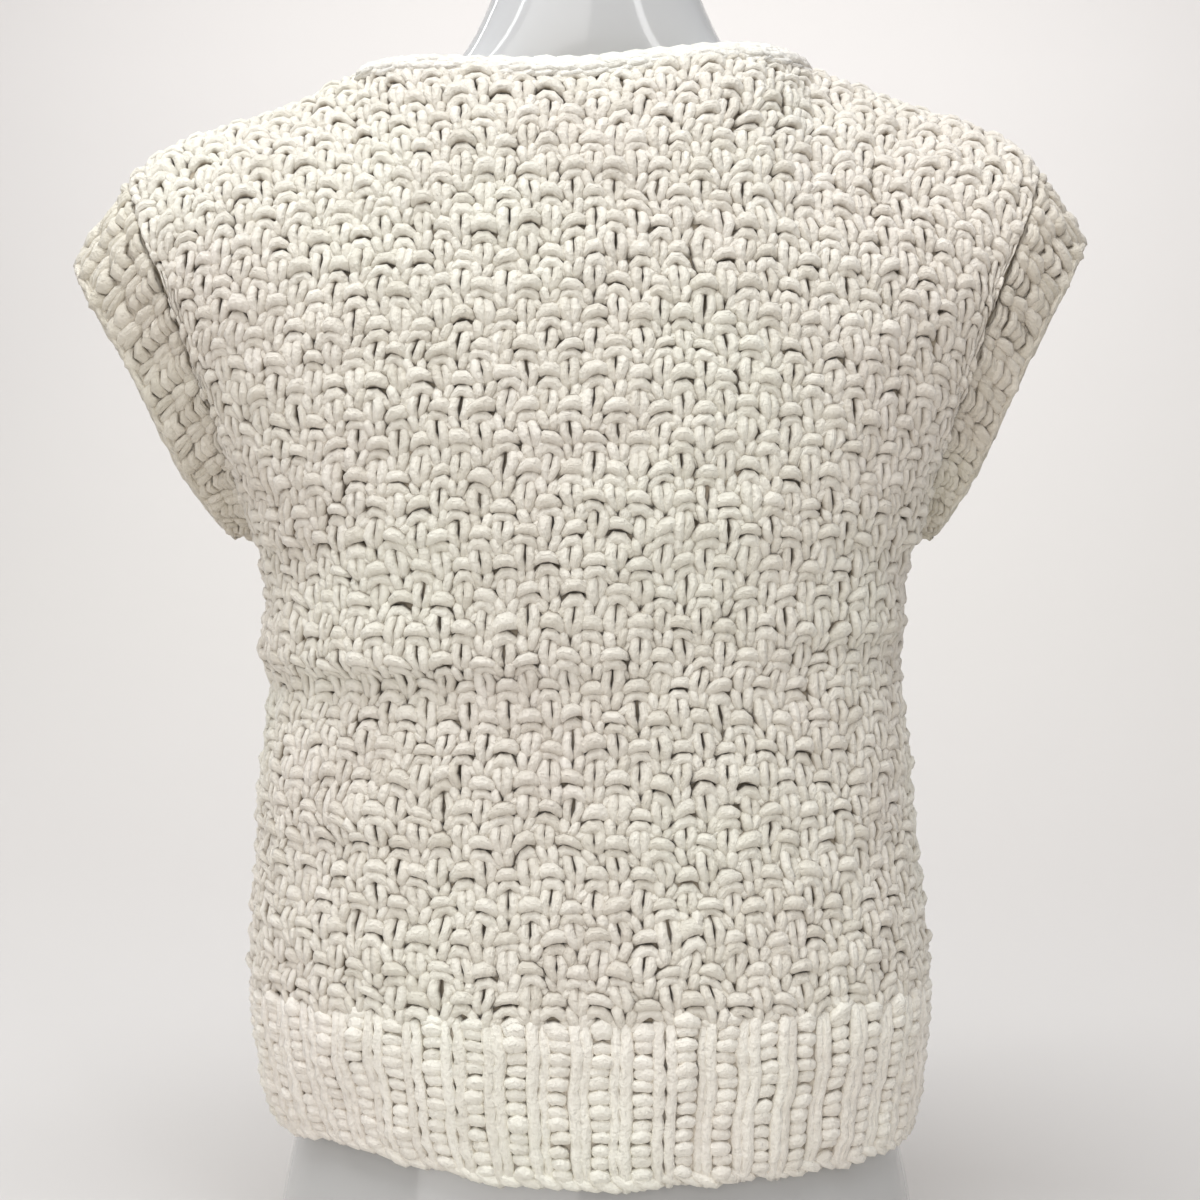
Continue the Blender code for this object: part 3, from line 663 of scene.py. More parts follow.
class Yarn:
    """Gathers strands in flat places (stitches across, metres up, height), then makes a mesh."""

    def __init__(self, panel):
        self.panel = panel
        self.parts = []

    def add(self, stitch, length, shape, wander, row=ROW, heights=1.0, tilt=0.0):
        """Lays the strand shape, rows of (across, up, height, size), at each stitch.

        across is in stitches, up in rows and height in mm off the cloth's outer face.
        wander is how unevenly the strands lie, and tilt how far each stitch rises to one side.
        """
        count = len(stitch)
        if not count:
            return
        shape = np.asarray(shape, float)
        rings = len(shape)
        # the strands lean, bow, stray across and up, swell and stand out, each a little
        lean = uneven(wander, (count, 1)) * np.linspace(-1, 1, rings)
        bow = uneven(wander, (count, 1)) * (1 - np.linspace(-1, 1, rings) ** 2)
        sway = uneven(wander * 0.7, (count, 1))
        rise = uneven(wander * 1.2, (count, 1))
        swell = 1 + uneven(wander * 1.3, (count, 1))
        stand = uneven(wander * 0.007, (count, 1))
        paths = np.empty((count, rings, 3))
        paths[..., 0] = (stitch[:, None] + shape[:, 0] + sway + lean * 0.6) * WIDE
        slant = np.asarray(tilt).reshape(-1, 1) * shape[:, 0]
        paths[..., 1] = length[:, None] + (
            shape[:, 1] + rise + bow * 0.9 + slant) * np.asarray(row).reshape(-1, 1)
        paths[..., 2] = shape[:, 2] * MM + stand
        size = YARN * shape[:, 3] * swell * (1 + uneven(wander * 0.8, (count, rings)))
        self.parts.append(lay_strands(paths, size, size * heights))

    def make(self, name, look):
        """One mesh of all the strands, bent onto the panel."""
        points, fibre, tone = [np.concatenate([part[k] for part in self.parts])
                               for k in (0, 2, 3)]
        faces, start = [], 0
        for part in self.parts:
            faces += [tuple(i + start for i in face) for face in part[1]]
            start += len(part[0])
        if not turned(self.panel):
            faces = [face[::-1] for face in faces]
        bent = self.panel.place(points[:, 0] / WIDE, points[:, 1], points[:, 2])
        return finish_piece(name, bent, faces, look, fibre=fibre, tone=tone, stand=points[:, 2])


def turned(panel):
    """Whether across, up and outward on a panel turn the other way from X, Y and Z."""
    step = 0.0005
    stitch, length = panel.centre
    here = np.array([stitch, stitch + step / WIDE, stitch, stitch])
    up = np.array([length, length, length + step, length])
    off = np.array([0, 0, 0, step])
    middle, across, along, out = panel.place(here, up, off)
    return float(np.linalg.det((across - middle, along - middle, out - middle))) < 0


def finish_piece(name, points, faces, look, **attributes):
    """A piece from its points and faces, with the values that its finish reads at each point."""
    mesh = bpy.data.meshes.new(name)
    mesh.from_pydata(points.tolist(), [], faces)
    for attribute, values in attributes.items():
        kind, field = ("FLOAT_VECTOR", "vector") if values.ndim > 1 else ("FLOAT", "value")
        made = mesh.attributes.new(attribute, kind, "POINT")
        made.data.foreach_set(field, values.ravel().astype(np.float32))
    mesh.shade_smooth()
    mesh.materials.append(look)
    made = bpy.data.objects.new(name, mesh)
    bpy.context.scene.collection.objects.link(made)
    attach(made, "root")
    return made


def mirrored(shape):
    """The strand at the stitch's other side."""
    return tuple((-across, *rest) for across, *rest in shape)


def arched(*half):
    """A strand whose second half is the first one turned round."""
    return half + mirrored(row for row in reversed(half) if row[0])


# Strands of the double moss stitch: across in stitches, up in rows, height in mm, size.
# Rows 0 to 2 of a column are knit and rows 2 to 4 are purl.
KNIT_LEG = (
    (0.03, -0.36, -5.0, 0.62), (0.18, 0.18, -2.4, 1.08), (0.31, 0.80, -2.0, 1.14),
    (0.31, 1.42, -4.8, 0.70),
)
UPPER_LEG = (
    (0.03, 0.66, -4.6, 0.66), (0.16, 1.14, -2.2, 1.04), (0.29, 1.74, -1.5, 1.17),
    (0.24, 2.32, -2.5, 1.08), (0.15, 2.86, -5.0, 0.80),
)
PURL_BUMP = arched(
    (-0.70, 3.10, -4.6, 0.52), (-0.45, 3.45, -2.2, 1.02), (-0.15, 3.68, -0.8, 1.33),
)
PURL_ARCH = arched(
    (-0.66, 2.06, -4.6, 0.58), (-0.45, 2.55, -2.8, 1.04), (-0.14, 2.93, -2.1, 1.22),
)
PURL_FOOT = (
    (0.84, 1.76, -4.8, 0.66), (0.66, 1.96, -2.8, 1.02), (0.46, 2.22, -2.9, 1.00),
    (0.26, 2.54, -4.8, 0.66),
)
# each strand, the row of its middle, and how high it is for its width
MOSS_STRANDS = (
    (KNIT_LEG, 0.6, 0.92), (mirrored(KNIT_LEG), 0.6, 0.92),
    (UPPER_LEG, 1.6, 0.92), (mirrored(UPPER_LEG), 1.6, 0.92),
    (PURL_BUMP, 3.6, 0.88), (PURL_ARCH, 2.8, 0.9),
    (PURL_FOOT, 2.3, 0.9), (mirrored(PURL_FOOT), 2.3, 0.9),
)
# The hem is 1 x 1 rib. A knit column is two long strands, swelling a little at every row.
RIB_ENDS = ((-0.60, -4.4, 0.80), (0.00, -2.6, 1.12))
RIB_LEG = (
    tuple((0.19, *end) for end in RIB_ENDS)
    + tuple((0.19 + 0.07 * (row % 2), row, -1.5 - 0.8 * (row % 2), 1.34 - 0.26 * (row % 2))
            for row in range(1, RIB_ROWS))
    + tuple((0.19, RIB_ROWS - row, *rest) for row, *rest in reversed(RIB_ENDS))
)
RIB_BEAD = arched(
    (-0.50, 0.14, -3.6, 0.55), (-0.28, 0.42, -1.7, 1.20), (0.00, 0.60, -0.9, 1.40),
)
RIB_BORDER = arched(
    (-0.60, -0.26, -5.0, 0.55), (-0.36, -0.04, -2.7, 1.06), (0.00, 0.08, -1.9, 1.26),
)
# The bands are the same rib, worked loosely, so every leg turns under after two rows.
BAND_LEG = (
    (0.08, -0.50, -4.0, 0.70), (0.20, 0.30, -1.9, 1.20), (0.24, 1.20, -1.6, 1.30),
    (0.20, 2.30, -4.0, 0.75),
)
BAND_BUMP = (
    (-0.60, 0.06, -3.8, 0.66), (-0.32, 0.42, -1.8, 1.22), (0.04, 0.62, -1.0, 1.40),
    (0.38, 0.38, -1.9, 1.18), (0.62, 0.08, -3.8, 0.66),
)
CAST_ON = (
    (-1.00, -0.34, -4.6, 0.50), (-0.60, -0.30, -2.8, 0.92), (-0.10, -0.06, -1.9, 1.05),
    (0.35, 0.20, -2.4, 0.90), (0.75, 0.40, -4.6, 0.50),
)


def crossings(columns, rows):
    """The column and the row of every stitch of a grid."""
    return [places.ravel() for places in np.meshgrid(columns, rows)]


def moss_stitches(name, panel, look, rows):
    """Double moss stitch, in pieces of the rows given, as many as fit on the panel."""
    made = []
    for piece, (first, last) in rows.items():
        yarn = Yarn(panel)
        for phase in (0, 1):
            columns = np.arange(STITCHES)[(np.arange(STITCHES) + phase) % 2 == 0]
            stitch, start = crossings(columns + 0.5, np.arange(first - 2 * phase, last, 4))
            sway, rise, tilt = [uneven(size, len(stitch)) for size in (0.06, 0.11, 0.24)]
            for shape, middle, height in MOSS_STRANDS:
                row = start + middle
                keep = panel.holds(stitch, row * ROW) & (row >= first) & (row < last)
                yarn.add((stitch + sway)[keep], ((start + rise) * ROW)[keep], shape, 0.055,
                         heights=height, tilt=tilt[keep])
        made.append(yarn.make(f"{name}_{piece}", look))
    return made


def ground_cloth(name, panel, place, columns, rows, looks, sink):
    """A sheet of ground cloth: a grid moved onto the panel, with Solidify for its wall.

    place takes shares across and up, from 0 to 1, and sink is how far the sheet lies under the
    panel's outer face.
    """
    deselect()
    bpy.ops.mesh.primitive_grid_add(x_subdivisions=columns, y_subdivisions=rows, size=1)
    made = bpy.context.object
    made.name = name
    made.data.name = name
    mesh = made.data
    points = np.empty(len(mesh.vertices) * 3)
    mesh.vertices.foreach_get("co", points)
    share = points.reshape(-1, 3)[:, :2] + 0.5
    mesh.vertices.foreach_set("co", place(share[:, 0], share[:, 1]).ravel())
    mesh.uv_layers.active.name = "cloth"
    for look in looks:
        mesh.materials.append(look)
    if turned(panel):
        bpy.ops.object.mode_set(mode="EDIT")
        bpy.ops.mesh.select_all(action="SELECT")
        bpy.ops.mesh.flip_normals()
        bpy.ops.object.mode_set(mode="OBJECT")
    wall = made.modifiers.new("wall", "SOLIDIFY")
    wall.thickness = BODY_WALL - sink
    wall.offset = -1
    wall.material_offset = 1
    bpy.ops.object.modifier_apply(modifier="wall")
    bpy.ops.object.shade_smooth()
    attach(made, "root")
    return made


# ------------------------ finishes


class Sum:
    """A shader socket that ordinary arithmetic works on."""

    def __init__(self, look, socket):
        self.look = look
        self.socket = socket

    def math(self, operation, first, second):
        return self.look.node("Math", {"operation": operation}, {0: first, 1: second})

    def __add__(self, other):
        return self.math("ADD", self, other)

    def __radd__(self, other):
        return self.math("ADD", other, self)

    def __sub__(self, other):
        return self.math("SUBTRACT", self, other)

    def __rsub__(self, other):
        return self.math("SUBTRACT", other, self)

    def __mul__(self, other):
        return self.math("MULTIPLY", self, other)

    def __rmul__(self, other):
        return self.math("MULTIPLY", other, self)


class Look:
    """One material. Its constants go straight to the shader's own sockets."""

    def __init__(self, name, **constants):
        self.material = bpy.data.materials.new(name)
        self.material.use_nodes = True
        self.tree = self.material.node_tree
        self.shader = self.tree.nodes["Principled BSDF"]
        for socket, value in constants.items():
            self.shader.inputs[socket.replace("_", " ")].default_value = value

    def node(self, kind, settings=None, inputs=None, output=0):
        """Adds a node with its settings, and the values or links of its sockets."""
        made = self.tree.nodes.new("ShaderNode" + kind)
        for name, value in (settings or {}).items():
            if name == "stops":
                ramp = made.color_ramp.elements
                while len(ramp) < len(value):
                    ramp.new(0.5)
                for stop, (place, colour) in zip(ramp, value):
                    stop.position = place
                    stop.color = colour
            else:
                setattr(made, name, value)
        for name, value in (inputs or {}).items():
            if isinstance(value, Sum):
                self.tree.links.new(value.socket, made.inputs[name])
            else:
                made.inputs[name].default_value = value
        return Sum(self, made.outputs[output])

    def feed(self, **links):
        for socket, value in links.items():
            self.tree.links.new(value.socket, self.shader.inputs[socket.replace("_", " ")])
        return self.material


def tint(*colour):
    return (*colour, 1.0)


def yarn_look(name, light, dark, painted_shade, shade_from=-2.6 * MM, flank_shade_to=0.4):
    """Smooth, barely twisted ivory yarn: fine fibres along each strand, and softer tones.

    The yarn darkens to a painted shade where it sinks under shade_from, and on its flanks up to
    flank_shade_to of its own height: painted shade in its hollows and where strands meet.
    """
    look = Look(name, Roughness=0.86, Sheen_Weight=0.25, Sheen_Roughness=0.5,
                Specular_IOR_Level=0.25)
    fibre = look.node("Attribute", {"attribute_name": "fibre"}, output="Vector")
    tone, stand = [look.node("Attribute", {"attribute_name": name}, output="Fac")
                   for name in ("tone", "stand")]
    place = look.node("TexCoord", output="Object")
    along = look.node("Mapping", {}, {"Vector": fibre, "Scale": (600, 600, 120)})
    hairs, lumps, cloud = [
        look.node("TexNoise", {},
                  {"Vector": vector, "Scale": scale, "Detail": detail, "Roughness": rough})
        for vector, scale, detail, rough in (
            (along, 1.0, 3.0, 0.6), (place, 300.0, 3.0, 0.55), (place, 9.0, 2.0, 0.5))]
    shade = hairs * 0.35 + lumps * 0.35 + cloud * 0.5 + tone * 0.08 - 0.12
    colour = look.node("ValToRGB", {"stops": ((0.25, dark), (0.62, light))}, {"Fac": shade})
    patch = look.node("ValToRGB", {"stops": (
        (0.36, tint(1.0, 0.98, 0.985)), (0.64, tint(0.99, 1.0, 0.975)))}, {"Fac": cloud})
    colour = look.node("Mix", {"data_type": "RGBA", "blend_type": "MULTIPLY"},
                       {0: 1.0, 6: colour, 7: patch}, output=2)
    # painted shade: flank darkens each strand's sides and low darkens what sinks into the cloth,
    # both mixed below to the shade tone
    level = look.node("SeparateXYZ", {}, {"Vector": fibre}, output=1)
    flank, low = [
        look.node("MapRange", {"interpolation_type": "SMOOTHSTEP"},
                  {"Value": value, "From Min": first, "From Max": last})
        for value, first, last in ((level, -0.15 * YARN, flank_shade_to * YARN),
                                   (stand, shade_from - 3.6 * MM, shade_from))]
    mixed = look.node("Mix", {"data_type": "RGBA"},
                      {0: low * flank, 6: painted_shade, 7: colour}, output=2)
    bump = look.node("Bump", {}, {
        "Height": hairs * 0.6 + lumps, "Strength": 0.9, "Distance": 2.0 * MM})
    return look.feed(Base_Color=mixed, Normal=bump)


def ground_look(name, colour, dark, stitches, rows):
    """The knit between and behind the strands, with rows of stitches on the inside. Its dark
    colour is painted shade in the hollows between those stitches.
    """
    look = Look(name, Roughness=0.92)
    cloth_map = look.node("UVMap", {"uv_map": "cloth"})
    scaled = look.node("Mapping", {},
                       {"Vector": cloth_map, "Scale": (stitches, rows, 1)})
    bars = look.node("TexChecker", {}, {"Vector": scaled, "Scale": 1.0}, output="Fac")
    waves = look.node("TexVoronoi", {"feature": "SMOOTH_F1"},
                      {"Vector": scaled, "Scale": 2.0, "Smoothness": 0.4})
    grain = look.node("TexNoise", {}, {
        "Vector": look.node("TexCoord", output="Object"), "Scale": 400.0,
        "Detail": 3.0})
    mixed = look.node("Mix", {"data_type": "RGBA"},
                      {0: waves * 0.9 + bars * 0.1, 6: colour, 7: dark}, output=2)
    bump = look.node("Bump", {}, {
        "Height": 0.8 - waves + bars * 0.25 + grain * 0.2, "Strength": 0.8,
        "Distance": 2.2 * MM})
    return look.feed(Base_Color=mixed, Normal=bump)


# Painted shade: the dark brown that the moss and edge yarns take in their hollows and on their
# flanks; the third colour of each other yarn is its painted shade too.
IVORY_PAINTED_SHADE = tint(0.22, 0.175, 0.12)
moss_yarn = yarn_look("ivory yarn", tint(0.86, 0.815, 0.725), tint(0.72, 0.67, 0.575),
                      IVORY_PAINTED_SHADE, -0.9 * MM, 1.0)
# Painted light: a lighter copy of the same ivory yarn, for the rolled edges.
lit_edge_yarn = yarn_look("ivory edge yarn with painted light", tint(0.90, 0.87, 0.80), tint(0.82, 0.78, 0.70),
                      IVORY_PAINTED_SHADE)
fold_yarn = yarn_look("ivory fold yarn", tint(0.84, 0.81, 0.745), tint(0.75, 0.71, 0.635),
                      tint(0.52, 0.46, 0.38), flank_shade_to=0.5)
# Painted light: a lighter copy of the same ivory yarn, for the hem's rib.
lit_rib_yarn = yarn_look("ivory rib yarn with painted light", tint(0.92, 0.88, 0.79), tint(0.80, 0.75, 0.66),
                     tint(0.66, 0.60, 0.51), flank_shade_to=0.2)
# Painted shade: a darker copy of the same ivory yarn, for the armhole bands and their edges.
shaded_band_yarn = yarn_look("ivory band yarn with painted shade", tint(0.76, 0.71, 0.61), tint(0.62, 0.57, 0.47),
                      tint(0.42, 0.36, 0.27))

MOSS_COUNT = (STITCHES, 66)  # stitches and rows that the grounds' patterns show
RIB_COUNT = (RIB_STITCHES, RIB_ROWS)
# Painted shade: the inside's dark colour lies between its stitches, and the outer grounds between
# the strands are painted darker than the yarn, the moss one dark brown all over.
INSIDE = (tint(0.80, 0.76, 0.68), tint(0.58, 0.53, 0.45))
moss_ground = (ground_look("painted shade between the moss stitches", tint(0.42, 0.36, 0.28),
                           tint(0.30, 0.25, 0.18), *MOSS_COUNT),
               ground_look("inside of the moss knit", *INSIDE, *MOSS_COUNT))
rib_ground = (ground_look("painted shade between the ribs", tint(0.68, 0.62, 0.53), tint(0.54, 0.48, 0.39),
                          *RIB_COUNT),
              ground_look("inside of the ribs", *INSIDE, *RIB_COUNT))

# ------------------------ the form


def form_point(share, height):
    """A point of the form's skin, at a share of the way round and a height."""
    turn = share * 2 * math.pi
    power = 2 / FORM_SQUARENESS
    across = np.sign(np.cos(turn)) * np.abs(np.cos(turn)) ** power
    along = np.sign(np.sin(turn)) * np.abs(np.sin(turn)) ** power
    back = read(FORM, "back", height)
    front = read(FORM, "front", height)
    return np.stack((read(FORM, "half_width", height) * across,
                     np.where(along > 0, back, front) * along, height), axis=-1)


def make_form(look):
    """The smooth form: a many-sided rod whose rings are moved out to the sections' sizes."""
    ring, circle, faces = rod(FORM_TURNS, FORM_RISES)
    heights = np.linspace(0, FORM[-1].height, 2000)
    outline = np.column_stack((read(FORM, "half_width", heights), heights))
    level = np.interp(np.linspace(0, 1, FORM_RISES), lengths(outline), heights)
    share = np.arctan2(circle[:, 1], circle[:, 0]) / (2 * math.pi) % 1.0
    made = finish_piece("form_skin", form_point(share, level[ring]), faces, look)
    deselect()
    made.select_set(True)
    bpy.context.view_layer.objects.active = made
    bpy.ops.object.shade_smooth_by_angle(angle=math.radians(40))
    return made


form_shell = Look("glossy white shell", Roughness=0.10, Coat_Weight=0.6, Coat_Roughness=0.03)
form_place = form_shell.node("TexCoord", output="Object")
mottle = form_shell.node("TexNoise", {}, {"Vector": form_place, "Scale": 7.0, "Detail": 2.0})
# Painted shade: the white shell is coloured grey, darker towards its base; the mottle is its own
# uneven tone.
form_shade_height = form_shell.node("SeparateXYZ", {}, {"Vector": form_place}, output=2)
form_colour = form_shell.node("ValToRGB", {"stops": (
    (0.0, tint(0.45, 0.44, 0.42)), (1.0, tint(0.60, 0.60, 0.60)))},
    {"Fac": mottle * 0.2 + form_shade_height * 1.15})
waviness = form_shell.node("Bump", {}, {"Height": mottle, "Strength": 0.15, "Distance": 4 * MM})

form = make_form(form_shell.feed(Base_Color=form_colour, Normal=waviness))
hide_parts("torso_form")

# ------------------------ the body of the garment

back = Panel(1)
front_left = Panel(-1, "under")
front_right = Panel(-1, "over")
GAP = SEAM / 2 / TUBE_HEIGHT


def panel_ground(name, panel, low_v, high_v, columns, rows, looks, sink):
    """The ground cloth of a panel between two levels of v."""
    def place(across, up):
        v = low_v + (high_v - low_v) * up
        reach = front_edge(v)
        if panel.front == "over":
            u = -1 + (reach + 1) * across
        elif panel.front == "under":
            u = 1 - (reach + 1) * (1 - across)
        else:
            u = -1 + 2 * across
        lap = lap_lift(u, v) if panel.front == "over" else 0.0
        return cloth(panel.side, u, v, lift=lap - sink)
    return ground_cloth(name, panel, place, columns, rows, looks, sink)


def rib_stitches(name, panel, look):
    """The 1 x 1 rib at the hem, with the twisted cast-on edge under it."""
    yarn = Yarn(panel)
    ratio = STITCHES / RIB_STITCHES
    for first, shapes, step, wander in (
            (0, (RIB_LEG, mirrored(RIB_LEG)), RIB_ROWS, 0.08), (1, (RIB_BEAD,), 1, 0.065)):
        columns = (np.arange(first, RIB_STITCHES, 2) + 0.5) * ratio
        stitch, row = crossings(columns, np.arange(0, RIB_ROWS, step))
        foot = -panel.level(panel.foot, stitch)
        height = foot / RIB_ROWS
        keep = panel.holds(stitch, -foot * 0.5)
        for shape in shapes:
            yarn.add(stitch[keep], (row * height - foot)[keep], shape, wander,
                     row=height[keep], heights=0.8)
    stitch = (np.arange(RIB_STITCHES) + 0.5) * ratio
    foot = panel.level(panel.foot, stitch)
    keep = panel.holds(stitch, foot * 0.1) & (np.arange(RIB_STITCHES) % 2 == 1)
    yarn.add(stitch[keep], uneven(0.10 * ROW, keep.sum()), RIB_BORDER, 0.09,
             tilt=uneven(0.3, keep.sum()))
    keep = panel.holds(stitch, foot * 0.9)
    yarn.add(stitch[keep], foot[keep], CAST_ON, 0.04)
    inner = [(x, y - 0.1, height - 3.0, size * 0.85) for x, y, height, size in CAST_ON]
    yarn.add(stitch[keep] + 0.5, foot[keep], inner, 0.04)
    return yarn.make(name, look)


class Cord:
    """A cord along a free edge, with its places given along it, round it and off its skin."""

    def __init__(self, middle, out, away, radius, wide=None):
        self.run = along_line(middle)
        self.middle, self.out, self.away = middle, out, away
        self.radius = radius
        self.wide = wide or radius
        self.links = self.run[-1] / WIDE
        self.centre = self.links / 2, 0.0

    def place(self, link, around, height):
        middle, out, away = [between(link * WIDE, self.run, values)
                             for values in (self.middle, self.out, self.away)]
        turn = np.expand_dims(around / self.radius, -1)
        height = np.expand_dims(height, -1)
        return (middle + unit(out) * np.cos(turn) * (self.radius + height)
                + unit(away) * np.sin(turn) * (self.wide + height))


CHAIN_LEG = (
    (-0.25, 0.06, -4.0, 0.60), (0.10, 0.20, -2.6, 0.94), (0.60, 0.42, -2.1, 1.02),
    (1.10, 0.46, -2.5, 0.94), (1.45, 0.30, -4.0, 0.60),
)


def chain_edge(name, cord, look, turns=(0.25, 0.75, 1.25, 1.75)):
    """A bound-off edge: plaited pairs of strands round a plain core."""
    yarn = Yarn(cord)
    count = int(cord.links)
    links = (np.arange(count) + 0.5) * cord.run[-1] / WIDE / count - 0.5
    around = cord.radius * math.pi
    for turn in turns:
        for shape in (CHAIN_LEG, [(x, -y, h, size) for x, y, h, size in CHAIN_LEG]):
            yarn.add(links + (0.5 if turn > 1 else 0), np.full(count, turn * around), shape,
                     0.03)
    return [cord_core(name + "_core", cord, look), yarn.make(name, look)]


CORE_SIDES = 12
CORE_RINGS = 200
CORE_SINK = 0.0008          # the core lies this far under the cord's skin
CORE_LUMPS = 0.00025


def cord_core(name, cord, look):
    """The plain round middle of an edge, under its plaited strands."""
    ring, circle, faces = rod(CORE_SIDES, CORE_RINGS)
    run = (ring / (CORE_RINGS - 1)) * (cord.links - 0.1) + 0.05
    around = np.arctan2(circle[:, 1], circle[:, 0]) * cord.radius
    side = np.rint(around / cord.radius * 6 / math.pi).astype(int)
    lumps = uneven(CORE_LUMPS, (CORE_RINGS, CORE_SIDES))[ring, side]
    if not turned(cord):
        faces = [face[::-1] for face in faces]
    fibre = np.column_stack((around, np.full(len(ring), YARN), run * WIDE))
    return finish_piece(name, cord.place(run, around, lumps - CORE_SINK), faces, look,
                        fibre=fibre)


ROLL_RADIUS = 0.0040        # rolled edge at the neck and the fronts
EDGE_RADIUS = 0.0044        # of the plaited edge, which stands a little proud of the roll
EDGE_PROUD = 0.0016         # how far the plaited edge is lifted off the roll's middle
NECK_CORD_REACH = 0.875     # share of the back neck that the roll follows before its ends
NECK_FOLD_REACH = 0.97      # and that the fold under it takes
NECK_FOLD_V = 0.106         # the neck's edge is folded down the back this far
NECK_FOLD_WIDE = 0.01262    # half the fold's width and thickness
NECK_FOLD_THICK = 0.0056
NECK_FOLD_DIP = 0.002       # how far the fold's ends sink in
JOINT_RUN = 0.0030          # straight end of each rolled edge at the shoulder seam
BAND_EDGE_RADIUS = 0.0034
BAND_EDGE_BACK = 0.0010     # how far the band's edge is drawn back over its last row


def beside_edge(edge, out, inwards):
    """Middle of the roll on an edge of the cloth, and the way on past the edge."""
    away = unit(np.cross(np.gradient(edge, axis=0), out))
    away *= -np.sign(np.sum(away * inwards, axis=1))[:, None]
    return edge - out * BODY_WALL / 2 + away * (ROLL_RADIUS + SEAM), away


def joint_ends(across, side):
    """The last two points of an edge, where it meets the next one at the shoulder."""
    corner = plain_point(1, neck_side(1) * across, 1.0)
    out = outward(1, neck_side(1) * across, 1.0)
    middle = corner - out * BODY_WALL / 2 - np.array((across * JOINT_INSET, 0, 0))
    return [middle + np.array((0, side * gap, 0)) for gap in (JOINT_RUN, SEAM / 2)]


def edge_cord(line, out, away, starts, ends):
    """A cord along a line, with straight ends at the shoulder seams."""
    points = np.array([*starts, *line, *ends])
    out, away = [np.pad(values, ((len(starts), len(ends)), (0, 0)), mode="edge")
                 for values in (out, away)]
    share = lengths(points)
    points, out, away = [between(np.linspace(0, 1, 500), share, values, smooth)
                         for values in (points, out, away)]
    return Cord(points + unit(out) * EDGE_PROUD, unit(out), unit(away), EDGE_RADIUS)


def neck_cord():
    """The rolled edge along the back of the neck."""
    side = neck_side(1) * NECK_CORD_REACH
    u = np.linspace(-side, side, 41)
    v = np.ones_like(u)
    inwards = cloth(1, u, v - ASIDE) - cloth(1, u, v)
    out = outward(1, u, v)
    middle, away = beside_edge(cloth(1, u, v), out, inwards)
    return edge_cord(middle, out, away, joint_ends(-1, 1)[::-1], joint_ends(1, 1))


def neck_fold():
    """The broad flat part of the neck's edge, folded out over the back's last rows."""
    share = np.linspace(-1, 1, 240)
    u = share * neck_side(1) * NECK_FOLD_REACH
    bell = neck_bell(share)
    v = 1 - NECK_FOLD_V * bell
    edge = cloth(1, u, v)
    out = outward(1, u, v)
    away = unit(np.cross(np.gradient(edge, axis=0), out))
    fold = Cord(edge - out * BODY_WALL / 2, out, away, NECK_FOLD_THICK, NECK_FOLD_WIDE)
    fold.middle = fold.middle - out * (NECK_FOLD_DIP * (1 - bell))[:, None]
    return fold


def front_cord(over):
    """The rolled edge of one front, from the hem up to the shoulder."""
    v = np.concatenate((np.linspace(-1, 0, 40)[:-1], np.linspace(0, 0.985, 60)))
    u = front_edge(v)
    lift = lap_lift(u, v) if over else 0.0
    across = 1 if over else -1
    edge = cloth(-1, u * across, v, lift=lift)
    inwards = cloth(-1, (u - ASIDE) * across, v, lift=lift) - edge
    out = outward(-1, u * across, v)
    middle, away = beside_edge(edge, out, inwards)
    return edge_cord(middle, out, away, [], joint_ends(-across, -1))


def free_edge(band):
    """The bound-off edge of an armhole band: a closed cord just past the band's last row."""
    stitch = np.linspace(0, BAND_STITCHES, 401)
    free = np.full_like(stitch, BAND_ROWS * BAND_ROW)
    middle, last, up = [band.place(stitch, free - back, np.full_like(stitch, -depth))
                        for back, depth in ((0, 0.003), (0.001, 0.003), (0, 0))]
    away = unit(middle - last)
    return Cord(middle - away * BAND_EDGE_BACK, unit(up - middle), away, BAND_EDGE_RADIUS)


def band_stitches(name, band, look):
    """The 1 x 1 rib of an armhole band, its columns running out to the free edge."""
    yarn = Yarn(band)
    for first, shapes, step in ((0, (BAND_LEG, mirrored(BAND_LEG)), 2), (1, (BAND_BUMP,), 1)):
        stitch, row = crossings(np.arange(first, BAND_STITCHES, 2) + 0.5,
                                np.arange(0, BAND_ROWS, step))
        for shape in shapes:
            yarn.add(stitch, row * BAND_ROW, shape, 0.10, row=BAND_ROW, heights=0.75)
    return yarn.make(name, look)


def band_ground(name, band):
    """The ground cloth of an armhole band, closed into a ring."""
    def place(across, up):
        return band.place(across * BAND_STITCHES, up * BAND_ROWS * BAND_ROW,
                          np.full_like(across, -RIB_SINK))
    return ground_cloth(name, band, place, 156, 6, rib_ground, RIB_SINK)


parts = {}
for name, panel, columns in (("back", back, 88), ("front_left", front_left, 60),
                             ("front_right", front_right, 60)):
    parts[name] = [panel_ground(name + "_ground", panel, RIB_TOP_V + GAP, 1, columns, 76,
                                moss_ground, GROUND_SINK)]
for name, panel, columns in (("hem_rib_back", back, 96), ("hem_rib_left", front_left, 72),
                             ("hem_rib_right", front_right, 72)):
    parts[name] = [panel_ground(name + "_ground", panel, -1, RIB_TOP_V - GAP, columns, 12,
                                rib_ground, RIB_SINK)]
for name, panel, rows in (("back", back, {"lower": (0, 32), "upper": (32, 72)}),
                          ("front_left", front_left, {"all": (0, 72)}),
                          ("front_right", front_right, {"all": (0, 72)})):
    parts[name] += moss_stitches(name + "_knit", panel, moss_yarn, rows)
for name, panel in (("hem_rib_back", back), ("hem_rib_left", front_left),
                    ("hem_rib_right", front_right)):
    parts[name].append(rib_stitches(name + "_knit", panel, lit_rib_yarn))
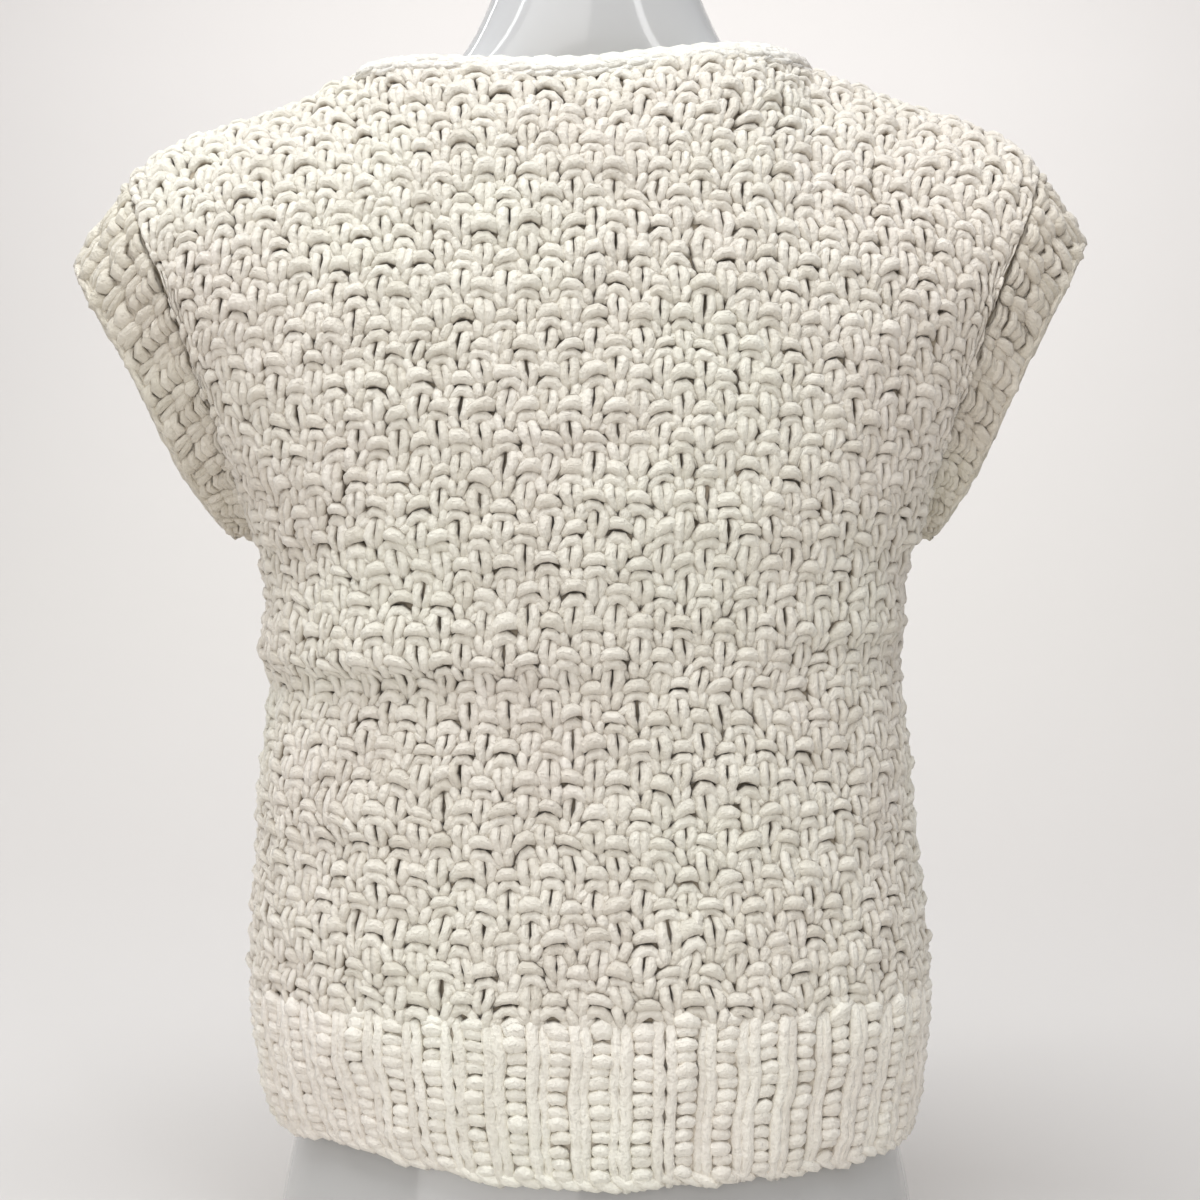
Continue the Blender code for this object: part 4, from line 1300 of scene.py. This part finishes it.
for name, across in (("armhole_band_left", 1), ("armhole_band_right", -1)):
    band = BandPanel(across)
    parts[name] = [band_ground(name + "_ground", band),
                   band_stitches(name + "_knit", band, shaded_band_yarn),
                   *chain_edge(name + "_edge", free_edge(band), shaded_band_yarn)]
parts["neck_edge_back"] = [
    *chain_edge("neck_chain", neck_cord(), lit_edge_yarn),
    *chain_edge("neck_fold", neck_fold(), fold_yarn, (-0.36, -0.12, 0.12, 0.36))]
parts["front_edge_left"] = chain_edge("front_left_chain", front_cord(False), lit_edge_yarn)
parts["front_edge_right"] = chain_edge("front_right_chain", front_cord(True), lit_edge_yarn)

for node, pieces in parts.items():
    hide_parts(node)
    for piece in pieces:
        ("rolled_edge" if "edge" in node
                else "rib_knit" if "rib" in node or "band" in node else "moss_knit")

# ------------------------ camera, stage and light

camera_data = bpy.data.cameras.new("camera")
camera_data.lens = 53.27
camera_data.sensor_width = 36
camera = bpy.data.objects.new("camera", camera_data)
camera.location = (-0.002, 0.95, 0.350)
camera.rotation_euler = (math.pi / 2, 0, math.pi)
bpy.context.scene.collection.objects.link(camera)
bpy.context.scene.camera = camera

paper = Look("plain studio paper", Roughness=0.9)
# Painted shade: the paper's colour darkens towards the floor.
paper_shade_height = paper.node("SeparateXYZ", {}, {
    "Vector": paper.node("TexCoord", output="Object")}, output=2)
paper_colour = paper.node("ValToRGB", {"stops": (
    (0.0, tint(0.63, 0.605, 0.58)), (0.16, tint(0.65, 0.625, 0.595)),
    (0.85, tint(0.76, 0.73, 0.705)))}, {"Fac": paper_shade_height * 0.5})


def studio_sweep(look):
    """A sheet of paper that lies on the floor and curves up behind the object."""
    deselect()
    bpy.ops.mesh.primitive_grid_add(x_subdivisions=2, y_subdivisions=64, size=1)
    made = bpy.context.object
    made.name = "studio_sweep"
    size, flat, bend, wall_y, floor_z = 16, 6, 2.2, -3.6, -0.001
    for point in made.data.vertices:
        run = (point.co.y + 0.5) * size
        turn = min(max(run - flat, 0) / bend, math.pi / 2)
        rise = max(run - flat - bend * math.pi / 2, 0)
        near = flat + wall_y + bend - min(run, flat)
        point.co = (point.co.x * size, near - bend * math.sin(turn),
                    floor_z + bend * (1 - math.cos(turn)) + rise)
    bpy.ops.object.shade_smooth()
    made.data.materials.append(look)


studio_sweep(paper.feed(Base_Color=paper_colour))


def area_light(name, place, target, width, height, power, colour=(1, 1, 1)):
    light = bpy.data.lights.new(name, "AREA")
    light.shape = "RECTANGLE"
    light.size = width
    light.size_y = height
    light.energy = power
    light.color = colour
    made = bpy.data.objects.new(name, light)
    made.location = place
    heading = Vector(target) - Vector(place)
    made.rotation_euler = heading.to_track_quat("-Z", "Y").to_euler()
    bpy.context.scene.collection.objects.link(made)


area_light("key", (0.26, 0.70, 2.35), (0, 0, 0.45), 1.9, 1.3, 43.5, (0.93, 0.965, 1.0))
area_light("front fill", (1.3, 3.0, 1.0), (0, 0, 0.35), 2.6, 2.0, 24, (1.0, 0.98, 0.95))
area_light("wall light", (-0.15, -1.4, 2.6), (-0.25, -3.4, 0.6), 3.4, 1.0, 50)
# narrow lights round the object, which the form's neck shows as bright streaks
STREAK_AWAY = 2.4
for name, around, height, length in (
        ("streak right", -24, 1.2, 1.8), ("streak left", 58, 2.1, 1.2),
        ("streak rim", 128, 2.1, 1.2)):
    turn = math.radians(around)
    area_light(name, (STREAK_AWAY * math.sin(turn), STREAK_AWAY * math.cos(turn), height),
               (0, 0, 0.70), 0.22, length, 5)

world = bpy.data.worlds.new("studio")
world.use_nodes = True
sky = world.node_tree.nodes["Background"].inputs
sky["Color"].default_value = tint(0.95, 0.96, 1.0)
sky["Strength"].default_value = 0.42
bpy.context.scene.world = world
bpy.context.scene.view_settings.view_transform = "Standard"
